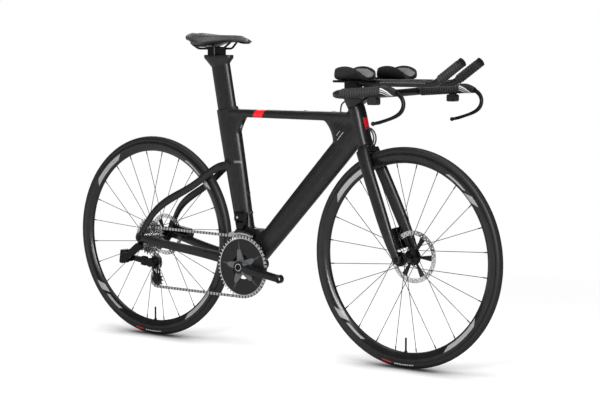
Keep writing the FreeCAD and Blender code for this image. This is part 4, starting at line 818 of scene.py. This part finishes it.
# bar tape and grips, wound in ridges round a sleeve
stemTop = Vector((0.31503, 0, 0.81037))
gripLook = {
    "pitch": 0.0086, "ridge": (0.0036, 0.0015), "sleeveDrop": 0.0026,
    "horn": {"from": 0.106, "to": 0.2465, "half": 0.211, "rise": 0.021, "climb": 0.063, "start": 0.100,
             "radius": 0.0150},
    "extension": {"straight": 0.326, "gauge": 0.050, "rise": 0.050, "angle": 34.5, "bend": 0.048,
                  "length": 0.108, "radius": 0.0144, "footGap": 0.003, "endGap": 0.004}}
tapeLook = {"color": (0.015, 0.015, 0.0155), "rough": 0.55, "spec": 0.4, "wear": (220, 0.52, 0.72),
            "tint": (180, (0.012, 0.012, 0.0125), (0.020, 0.020, 0.021)), "grain": (1700, 3, 0.4, 0.0003)}


def tapeTree():
    # one ridge wound round a closed sleeve that stands on z
    sizes = {"Float": ["Length", "Radius", "Turns", "Ridge Half Width", "Ridge Height", "Sleeve Drop"],
             "Vector": ["Place", "Heading"]}
    tree, given = newTree("woundTape", sizes)
    mid = minus(given["Radius"], given["Ridge Height"])
    width = times(given["Ridge Half Width"], 2.0)
    short = minus(given["Length"], width)
    coil = shaped(tree, "CurveSpiral", {"Resolution": 24, "Rotations": given["Turns"], "Start Radius": mid,
                                        "End Radius": mid, "Height": short})
    coil = shaped(tree, "SetCurveNormal", {"Curve": coil}, mode="Z_UP")
    profile = shaped(tree, "CurvePrimitiveCircle", {"Resolution": 10, "Radius": 1.0})
    oval = {0: given["Ridge Height"], 1: given["Ridge Half Width"], 2: 1.0}
    flat = made(tree, "ShaderNodeCombineXYZ", oval)
    profile = shaped(tree, "Transform", {"Geometry": profile, "Scale": flat})
    ridge = shaped(tree, "CurveToMesh", {"Curve": coil, "Profile Curve": profile, "Fill Caps": True})
    ridge = raisedBy(ridge, given["Ridge Half Width"])
    inner = minus(given["Radius"], given["Sleeve Drop"])
    sleeve = shaped(tree, "MeshCylinder", {"Vertices": 36, "Side Segments": 1, "Radius": inner,
                                           "Depth": given["Length"]})
    sleeve = raisedBy(sleeve, times(given["Length"], 0.5))
    both = treeNode(tree, "GeometryNodeJoinGeometry")
    tree.links.new(ridge, both.inputs[0])
    tree.links.new(sleeve, both.inputs[0])
    placed = shaped(tree, "Transform", {"Geometry": both.outputs[0], "Translation": given["Place"],
                                        "Rotation": headingTurn(given["Heading"])})
    return endTree(tree, given, placed)


def gripRuns():
    horn, far = gripLook["horn"], gripLook["extension"]
    runs = []
    angle = math.radians(far["angle"])
    climb = Vector((math.cos(angle), 0, math.sin(angle)))
    foot = far["bend"] * math.tan(angle / 2) + far["footGap"]
    for side in (-1, 1):
        ends = []
        for dx in (horn["from"], horn["to"]):
            rise = horn["rise"] + (dx - horn["start"]) * horn["climb"]
            ends.append(stemTop + Vector((dx, side * horn["half"], rise)))
        runs.append((ends[0], ends[1] - ends[0], horn["radius"]))
        corner = stemTop + Vector((far["straight"], side * far["gauge"], far["rise"]))
        run = climb * (far["length"] - foot - far["endGap"])
        runs.append((corner + climb * foot, run, far["radius"]))
    return runs


def buildTape():
    tree = tapeTree()
    mat = layered("tapeRubber", tapeLook)
    parts = []
    for place, run, radius in gripRuns():
        values = {"Length": run.length, "Radius": radius,
                  "Turns": round(run.length / gripLook["pitch"]) - 1.0,
                  "Ridge Half Width": gripLook["ridge"][0], "Ridge Height": gripLook["ridge"][1],
                  "Sleeve Drop": gripLook["sleeveDrop"], "Place": tuple(place),
                  "Heading": tuple(run.normalized()), "Material": mat}
        parts.append(grown("grip", bpy.data.meshes.new("gripPoints"), tree, values))
    tape = joinedMesh("gripTapeWound", parts)
    smoothFaces(tape, 50)
    seatPiece(linkNew("gripTapeWound", tape), "steering", "grip", "grip_tape")
    print("tape wound:", len(tape.polygons), "faces")


buildTape()


# hoses: the brake hoses at the crown and the loop behind the stem, each swept along its points and attached
# to no body
hoseLook = {"radius": 0.0025, "color": (0.010, 0.010, 0.0105), "rough": 0.42, "wear": (260, 0.36, 0.50),
            "tint": (300, (0.008, 0.008, 0.0085), (0.013, 0.013, 0.014)), "grain": (2200, 2, 0.2, 0.0002),
            "crown": [(0.3604, 0.72305), (0.3838, 0.7220), (0.3977, 0.68125), (0.3803, 0.6632)]}


def crownPoints(y):
    return [(x, y, z) for x, z in hoseLook["crown"]]


hoseRoutes = {
    "cableLoop": {"points": [(0.28903, 0, 0.80437), (0.27103, 0, 0.79837), (0.26403, 0, 0.78237),
                             (0.26403, 0, 0.76054)],
                  "length": 0.055, "replaces": ("cable_loop",), "blend": ("steering", "frame")},
    "frontHoseRight": {"points": crownPoints(-0.006), "length": 0.083, "replaces": ("front_hoses",),
                       "blend": ("frame", "steering")},
    "frontHoseLeft": {"points": crownPoints(0.006), "length": 0.083, "replaces": (),
                      "blend": ("frame", "steering")}}


def hoseCurve(name, points, radius):
    curve = bpy.data.curves.new(name, "CURVE")
    curve.dimensions = "3D"
    curve.bevel_depth = radius
    curve.bevel_resolution = 6
    curve.use_fill_caps = radius > 0
    spline = curve.splines.new("NURBS")
    spline.points.add(len(points) - 1)
    for point, place in zip(spline.points, points):
        point.co = (*place, 1)
    spline.order_u = 3
    spline.use_endpoint_u = True
    spline.resolution_u = 16
    return bakedMesh(linkNew(name + "Route", curve))


def buildHoses():
    mat = layered("hoseSkin", hoseLook)
    for name, route in hoseRoutes.items():
        line = hoseCurve(name, route["points"], 0.0)
        path = [tuple(v.co) for v in line.vertices]
        mesh = coated(hoseCurve(name, route["points"], hoseLook["radius"]), mat, 50)
        obj = linkNew(name, mesh)
        if route["replaces"]:
            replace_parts(obj, *route["replaces"])
        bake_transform(obj)
        run = sum((Vector(a) - Vector(b)).length for a, b in zip(path, path[1:]))
        print(name, "length", round(run, 4))


buildHoses()


# drive and brake discs, painted by their distance from the axle
metalShare = (0.55, 1.0)  # metallic value of dark and of bright metal
ringLook = {"teeth": 0.0905, "teethSoft": 0.0004, "silver": (0.60, 0.61, 0.62), "dark": (0.014, 0.014, 0.015),
            "facet": (0.060, 0.062, 0.065), "armTurn": 367.5, "armHalf": 36.0, "armRoot": 0.088,
            "armTaper": 110.0, "armSoft": 0.6, "armZone": (0.030, 0.086, 0.0006),
            "fleck": (260, 2, 0.92, 1.0), "rough": (0.42, 0.26), "score": (0.0003, 1500),
            "grain": (1500, 2), "bump": (0.05, 0.0002)}
discLook = {"front": {"axle": frontAxle, "track": 0.0655}, "rear": {"axle": rearAxle, "track": 0.0555},
            "trackSoft": 0.0003, "steel": (0.56, 0.56, 0.57), "dark": (0.013, 0.013, 0.014),
            "rough": (0.40, 0.27), "score": (0.0004, 1200), "grain": (1300, 2), "bump": (0.12, 0.0002)}
# in chainLook, dark and the gap bands paint shade into the gaps between the chain's plates
chainLook = {"bright": (0.50, 0.50, 0.51), "dark": (0.030, 0.030, 0.032), "wrap": (0.0, 0.108, 0.002),
             "ringRadius": 0.0975, "gapShadeBands": (0.0127, 0.0043, 0.0005)}
crankLook = {"heading": -7.5, "spread": 24.0, "hub": 0.0210, "reach": 0.100, "facet": (0.085, 0.088, 0.092),
             "collar": (0.0100, 0.0118, 0.0003), "face": -0.060, "ring": (0.40, 0.40, 0.41)}
guideLook = {"lip": (0.0, 0.1105, 0.0006), "back": (104.0, 180.0, 0.5), "bright": (0.46, 0.46, 0.47)}


def blendMetal(mat, share, dark, bright, rough):
    joinTo(mat, blendColor(share, dark, bright), "Base Color")
    joinTo(mat, blendValue(share, *metalShare), "Metallic")
    joinTo(mat, blendValue(share, *rough), "Roughness")


def scoreRings(mat, flat, look):
    pitch, gain = look["score"]
    rings = times(zigzag(flat, pitch), gain)
    bumpFrom(mat, plus(rings, noise(mat, *look["grain"])), *look["bump"])


def beyond(value, edge, soft):
    return ramp(value, edge - soft, edge + soft)


def ringFinish():
    # bright toothed ring, dark carrier with pale faceted arms
    look = ringLook
    mat = newMaterial("ringFinish", look["dark"], 0.35, metal=0.8)
    angle, flat, across = wheelPlace(mat, bracket)
    bright = beyond(flat, look["teeth"], look["teethSoft"])
    fifth = zigzag(plus(angle, look["armTurn"]), look["armHalf"])
    narrowed = times(minus(look["armRoot"], flat), look["armTaper"])
    arm = beyond(minus(fifth, minus(look["armHalf"], narrowed)), 0.0, look["armSoft"])
    arm = times(arm, within(flat, *look["armZone"]))
    dark = blendColor(arm, look["dark"], look["facet"])
    share = times(bright, mottle(mat, *look["fleck"]))
    blendMetal(mat, share, dark, look["silver"], look["rough"])
    scoreRings(mat, flat, look)
    return mat


def discFinish(end):
    look = discLook
    mat = newMaterial(end + "DiscFinish", look["dark"], 0.35, metal=0.8)
    angle, flat, across = wheelPlace(mat, look[end]["axle"])
    bright = beyond(flat, look[end]["track"], look["trackSoft"])
    blendMetal(mat, bright, look["dark"], look["steel"], look["rough"])
    scoreRings(mat, flat, look)
    return mat


def chainSteelGapShade():
    # steel links with a narrow dark band at each link along each run: painted shade in the gaps between the
    # plates
    mat = layered("chainSteelGapShade", alloyLook(chainLook["bright"], 0.30))
    angle, flat, across = wheelPlace(mat, bracket)
    x, y, z = splitPlace(mat)
    wrapped = within(flat, *chainLook["wrap"])
    onRing = times(angle, chainLook["ringRadius"] * math.pi / 180)
    gapShade = bands(blendValue(wrapped, x, onRing), *chainLook["gapShadeBands"])
    paintOver(mat, gapShade, chainLook["dark"])
    return mat


# the chain in runs, split where its links leave the cog and the ring; every run but the first is attached to
# no body
chainY = -0.046
aside = ("frame", "rear_derailleur_link")
swinging = ("rear_derailleur_knuckle", "rear_derailleur_cage")
chainRuns = {  # a zone is from x, to x and below z; links in no zone stay with the frame
    "Dressed": {},
    "Lower": {"zone": (-0.3655, -0.100, 0.200), "bodies": aside,
              "start": (-0.100, chainY, 0.171), "end": (-0.8185, chainY, 0.171)},
    "Pulleys": {"zone": (-1.0, -0.3655, 0.2320), "bodies": swinging,
                "start": (-0.3655, chainY, 0.171), "end": (-0.440, chainY, 0.171)},
    "Guide": {"zone": (-0.456, -0.3655, 0.2705), "bodies": swinging,
              "start": (-0.447, chainY, 0.275), "end": (-0.447, chainY, 0.230)},
    "Upper": {"zone": (-0.508, -0.450, 0.2965), "bodies": aside,
              "start": (-0.511, chainY, 0.298), "end": (-0.4065, chainY, 0.2546)}}


def chainRunAt(x, z):
    for name, run in chainRuns.items():
        if run:
            fromX, toX, below = run["zone"]
            if fromX < x < toX and z < below:
                return name
    return "Dressed"


def looseParts(mesh):
    # one label for all points that hang together
    places, edges = meshArrays(mesh)
    label = np.arange(len(places))
    while True:
        low = np.minimum(label[edges[:, 0]], label[edges[:, 1]])
        joined = label.copy()
        np.minimum.at(joined, edges[:, 0], low)
        np.minimum.at(joined, edges[:, 1], low)
        if (joined == label).all():
            return places, label
        label = joined


def buildChain(mat):
    whole = coated(mergedMesh("chain"), mat, sharpAngle)
    places, label = looseParts(whole)
    runOf = {link: chainRunAt(*places[label == link][:, [0, 2]].mean(axis=0)) for link in np.unique(label)}
    for name, run in chainRuns.items():
        mesh = whole.copy()
        shell = bmesh.new()
        shell.from_mesh(mesh)
        shell.verts.ensure_lookup_table()
        others = [shell.verts[k] for k, link in enumerate(label) if runOf[link] != name]
        bmesh.ops.delete(shell, geom=others, context="VERTS")
        shell.to_mesh(mesh)
        shell.free()
        obj = linkNew("chain" + name, mesh)
        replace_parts(obj, "chain")
        if run:
            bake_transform(obj)
        else:
            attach(obj, "frame")
    print("chain:", len(runOf), "links in", len(chainRuns), "runs")


def armFinish():
    # black arm, with paler facets on the short arms that carry the ring and a bright collar round the bolt
    look = crankLook
    mat = layered("armFinish", glossLook)
    angle, flat, across = wheelPlace(mat, bracket)
    aslant = maths("ABSOLUTE", minus(angle, look["heading"]))
    clear = maths("GREATER_THAN", aslant, look["spread"])
    short = times(clear, within(flat, look["hub"], look["reach"]))
    paintOver(mat, short, look["facet"])
    collar = within(flat, *look["collar"])
    front = maths("LESS_THAN", across, look["face"])
    paintOver(mat, times(collar, front), look["ring"])
    return mat


def guideFinish():
    # dark cage with a bright lip next to the ring
    mat = layered("guideFinish", alloyLook(chainLook["dark"], 0.34))
    angle, flat, across = wheelPlace(mat, bracket)
    lip = within(flat, *guideLook["lip"])
    back = within(angle, *guideLook["back"])
    paintOver(mat, larger(lip, back), guideLook["bright"])
    return mat


dress("chainrings", ringFinish())
buildChain(chainSteelGapShade())
dress("right_crank_arm", armFinish())
dress("front_derailleur_cage", guideFinish())
dress("frame_bearings", finishes["dark_steel"])
for end in ("front", "rear"):
    dress(end + "_rotor", discFinish(end))
print("discs painted")


# cockpit marks: pale stripes on the lever housings, a scale along the extensions
housingLook = {"color": (0.013, 0.013, 0.014), "rough": 0.34, "stripe": (0.62, 0.62, 0.62), "from": 0.562,
               "bow": 9.0, "tilt": 0.12, "stripeSoft": (0.001, 0.0003),
               "stripes": [(0.004, 0.047, 0.8472, 0.8512), (0.004, 0.047, 0.8424, 0.8444),
                           (0.004, 0.047, 0.8364, 0.8382)]}
extensionLook = {"scale": (0.40, 0.40, 0.41), "row": (0.8610, 0.8634, 0.0002), "run": (0.452, 0.612),
                 "tick": (0.005, 0.0011, 0.0002)}


def housingFinish():
    look = housingLook
    mat = layered("housingFinish", plasticLook(look["color"], look["rough"]))
    x, y, z = splitPlace(mat)
    along = minus(x, look["from"])
    bow = times(times(along, along), look["bow"])
    level = plus(plus(z, bow), times(along, look["tilt"]))
    stripe = patchesAt(along, level, look["stripes"], *look["stripeSoft"])
    paintOver(mat, stripe, look["stripe"])
    return mat


def extensionFinish():
    look = extensionLook
    mat = layered("extensionFinish", carbonLook)
    x, y, z = splitPlace(mat)
    row = within(z, *look["row"])
    tick = bands(x, *look["tick"])
    mark = times(times(row, tick), within(x, *look["run"]))
    paintOver(mat, mark, look["scale"])
    return mat


dress("brake_lever_bodies", housingFinish())
dress("extensions", extensionFinish())
print("cockpit marked")


# small fasteners, set on the faces that carry them
boltLook = {"sides": 18, "socket": 0.55, "sink": -0.7, "stand": 0.4}
boltSpots = {
    "frame": {"size": (0.0042, 0.0026), "spots": [
        ((-0.4740, 0.0790, 0.3300), (0, 1, 0)), ((-0.4220, 0.0790, 0.3220), (0, 1, 0)),
        ((-0.1150, -0.0402, 0.4240), (0, -1, 0))]},
    "steering": {"size": (0.0040, 0.0024), "spots": [
        ((x, y, 0.8742), (0, 0, 1)) for x in (0.3300, 0.3620) for y in (0.0500, -0.0500)]},
    "crank": {"size": (0.0085, 0.0030), "slot": "black_alloy", "spots": [
        ((-0.09165, -0.0670, 0.2660), (0, -1, 0))]}}


def boltTree():
    # a round head with a sunk socket, stood on each point along its heading
    look = boltLook
    tree, given = newTree("boltHeads", {"Float": ["Radius", "Height"]})
    head = treeNode(tree, "GeometryNodeMeshCylinder", {
        "Vertices": look["sides"], "Radius": given["Radius"], "Depth": given["Height"]}).outputs
    rim = treeNode(tree, "GeometryNodeExtrudeMesh", {
        "Mesh": head[0], "Selection": head["Top"], "Offset Scale": 0.0}, mode="FACES").outputs
    socket = shaped(tree, "ScaleElements", {
        "Geometry": rim[0], "Selection": rim["Top"], "Scale": look["socket"]})
    depth = times(given["Height"], look["sink"])
    sunk = shaped(tree, "ExtrudeMesh", {
        "Mesh": socket, "Selection": rim["Top"], "Offset Scale": depth}, mode="FACES")
    sunk = raisedBy(sunk, times(given["Height"], look["stand"]))
    facing = shaped(tree, "InputNamedAttribute", {"Name": "heading"}, data_type="FLOAT_VECTOR")
    heads = shaped(tree, "InstanceOnPoints", {
        "Points": given["Geometry"], "Instance": sunk, "Rotation": headingTurn(facing)})
    return endTree(tree, given, heads)


def spotMesh(spots):
    mesh = bpy.data.meshes.new("boltPoints")
    mesh.from_pydata([place for place, heading in spots], [], [])
    facing = mesh.attributes.new("heading", "FLOAT_VECTOR", "POINT")
    facing.data.foreach_set("vector", [v for place, heading in spots for v in heading])
    return mesh


def buildBolts():
    tree = boltTree()
    for body, group in boltSpots.items():
        slot = group.get("slot", "steel")
        values = {"Radius": group["size"][0], "Height": group["size"][1], "Material": finishes[slot]}
        mesh = grown(body + "Bolts", spotMesh(group["spots"]), tree, values)
        smoothFaces(mesh, 30)
        seatPiece(linkNew(body + "Bolts", mesh), body, slot)
        print(body, "bolts:", len(group["spots"]))


buildBolts()
done = {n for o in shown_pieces() for n in o.get("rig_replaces", [])}
for nodeName in sorted(set(nodes) - done):
    dress(nodeName, finishes[slotOf[nodeName]])
print("pieces dressed")


# stage: pale floor, soft lights and the camera
# reach, samples, shut, open and contact set the painted contact shadow on the floor
stageLook = {"size": 60, "floor": (0.80, 0.80, 0.80), "glow": 0.48, "fadeFrom": 0.9, "fadeTo": 2.2,
             "ambient": 0.14, "reach": 0.20, "samples": 12, "shut": 0.55, "open": 0.975, "contact": 0.05}
cameraLook = {"place": (3.352512, -4.224977, 0.963540), "azimuth": 37.533, "elevation": 5.094,
              "focalPixels": 1701.936, "photoWidth": 600, "sensor": 36, "clipEnd": 100}
softBoxes = {
    "overhead": {"place": (0.2, -0.6, 3.0), "aim": (0, 0, 0.4), "size": (3.2, 1.8), "power": 52},
    "frontSide": {"place": (1.3, -4.0, 1.6), "aim": (0.0, 0, 0.6), "size": (0.9, 2.0), "power": 190},
    "backRim": {"place": (-2.6, 2.2, 2.2), "aim": (0, 0, 0.6), "size": (2.2, 1.2), "power": 30}}


def floorPaint():
    look = stageLook
    mat = newMaterial("paleFloor", look["floor"], 0.9, spec=0.0)
    tree = mat.node_tree
    inputs = {0: objectPlace(mat)}
    away = addNode(mat, "ShaderNodeVectorMath", inputs, operation="LENGTH").outputs["Value"]
    fade = ramp(away, look["fadeFrom"], look["fadeTo"])
    ray = addNode(mat, "ShaderNodeLightPath").outputs
    seen = larger(ray["Is Camera Ray"], ray["Is Glossy Ray"])
    shaderOf(mat).inputs["Emission Color"].default_value = (1, 1, 1, 1)
    # painted contact shadow: the floor's colour and glow darken where something stands close above it
    inputs = {"Distance": look["reach"]}
    near = addNode(mat, "ShaderNodeAmbientOcclusion", inputs, samples=look["samples"]).outputs["AO"]
    shade = ramp(near, look["shut"], look["open"], look["contact"], 1.0)
    joinTo(mat, blendColor(shade, (0, 0, 0), look["floor"]), "Base Color")
    glow = times(ray["Is Camera Ray"], look["glow"])
    joinTo(mat, times(glow, shade), "Emission Strength")
    white = made(tree, "ShaderNodeEmission", {"Color": (1, 1, 1, 1), "Strength": 1.0})
    inputs = {0: times(fade, seen), 1: shaderOf(mat).outputs[0], 2: white}
    mix = made(tree, "ShaderNodeMixShader", inputs)
    tree.links.new(mix, tree.nodes["Material Output"].inputs[0])
    return mat


def buildFloor():
    bpy.ops.mesh.primitive_plane_add(size=stageLook["size"])
    floor = bpy.context.object
    floor.name = "floor"
    floor.data.materials.append(floorPaint())


def buildWorld():
    # white to the camera, dim as a light
    world = bpy.data.worlds.new("studio")
    bpy.context.scene.world = world
    world.use_nodes = True
    tree = world.node_tree
    ray = treeNode(tree, "ShaderNodeLightPath").outputs
    seen = larger(ray["Is Camera Ray"], ray["Is Transmission Ray"])
    strength = made(tree, "ShaderNodeMapRange", {0: seen, 3: stageLook["ambient"], 4: 1.0})
    back = tree.nodes["Background"]
    back.inputs[0].default_value = (1, 1, 1, 1)
    tree.links.new(strength, back.inputs[1])


def lookAlong(obj, place, heading):
    obj.location = place
    obj.rotation_euler = heading.to_track_quat("-Z", "Y").to_euler()


def buildLights():
    for name, box in softBoxes.items():
        lamp = bpy.data.lights.new(name, "AREA")
        lamp.shape = "RECTANGLE"
        lamp.size, lamp.size_y = box["size"]
        lamp.energy = box["power"]
        lookAlong(linkNew(name, lamp), box["place"], Vector(box["aim"]) - Vector(box["place"]))


def buildCamera():
    look = cameraLook
    lens = bpy.data.cameras.new("photoCamera")
    lens.sensor_fit = "HORIZONTAL"
    lens.sensor_width = look["sensor"]
    lens.lens = look["focalPixels"] * look["sensor"] / look["photoWidth"]
    lens.clip_end = look["clipEnd"]
    obj = linkNew("photoCamera", lens)
    az, el = math.radians(look["azimuth"]), math.radians(look["elevation"])
    heading = Vector((-math.sin(az) * math.cos(el), math.cos(az) * math.cos(el), -math.sin(el)))
    lookAlong(obj, look["place"], heading)
    bpy.context.scene.camera = obj


buildFloor()
buildWorld()
buildLights()
buildCamera()
bpy.context.scene.view_settings.view_transform = "Standard"
print("stage ready")
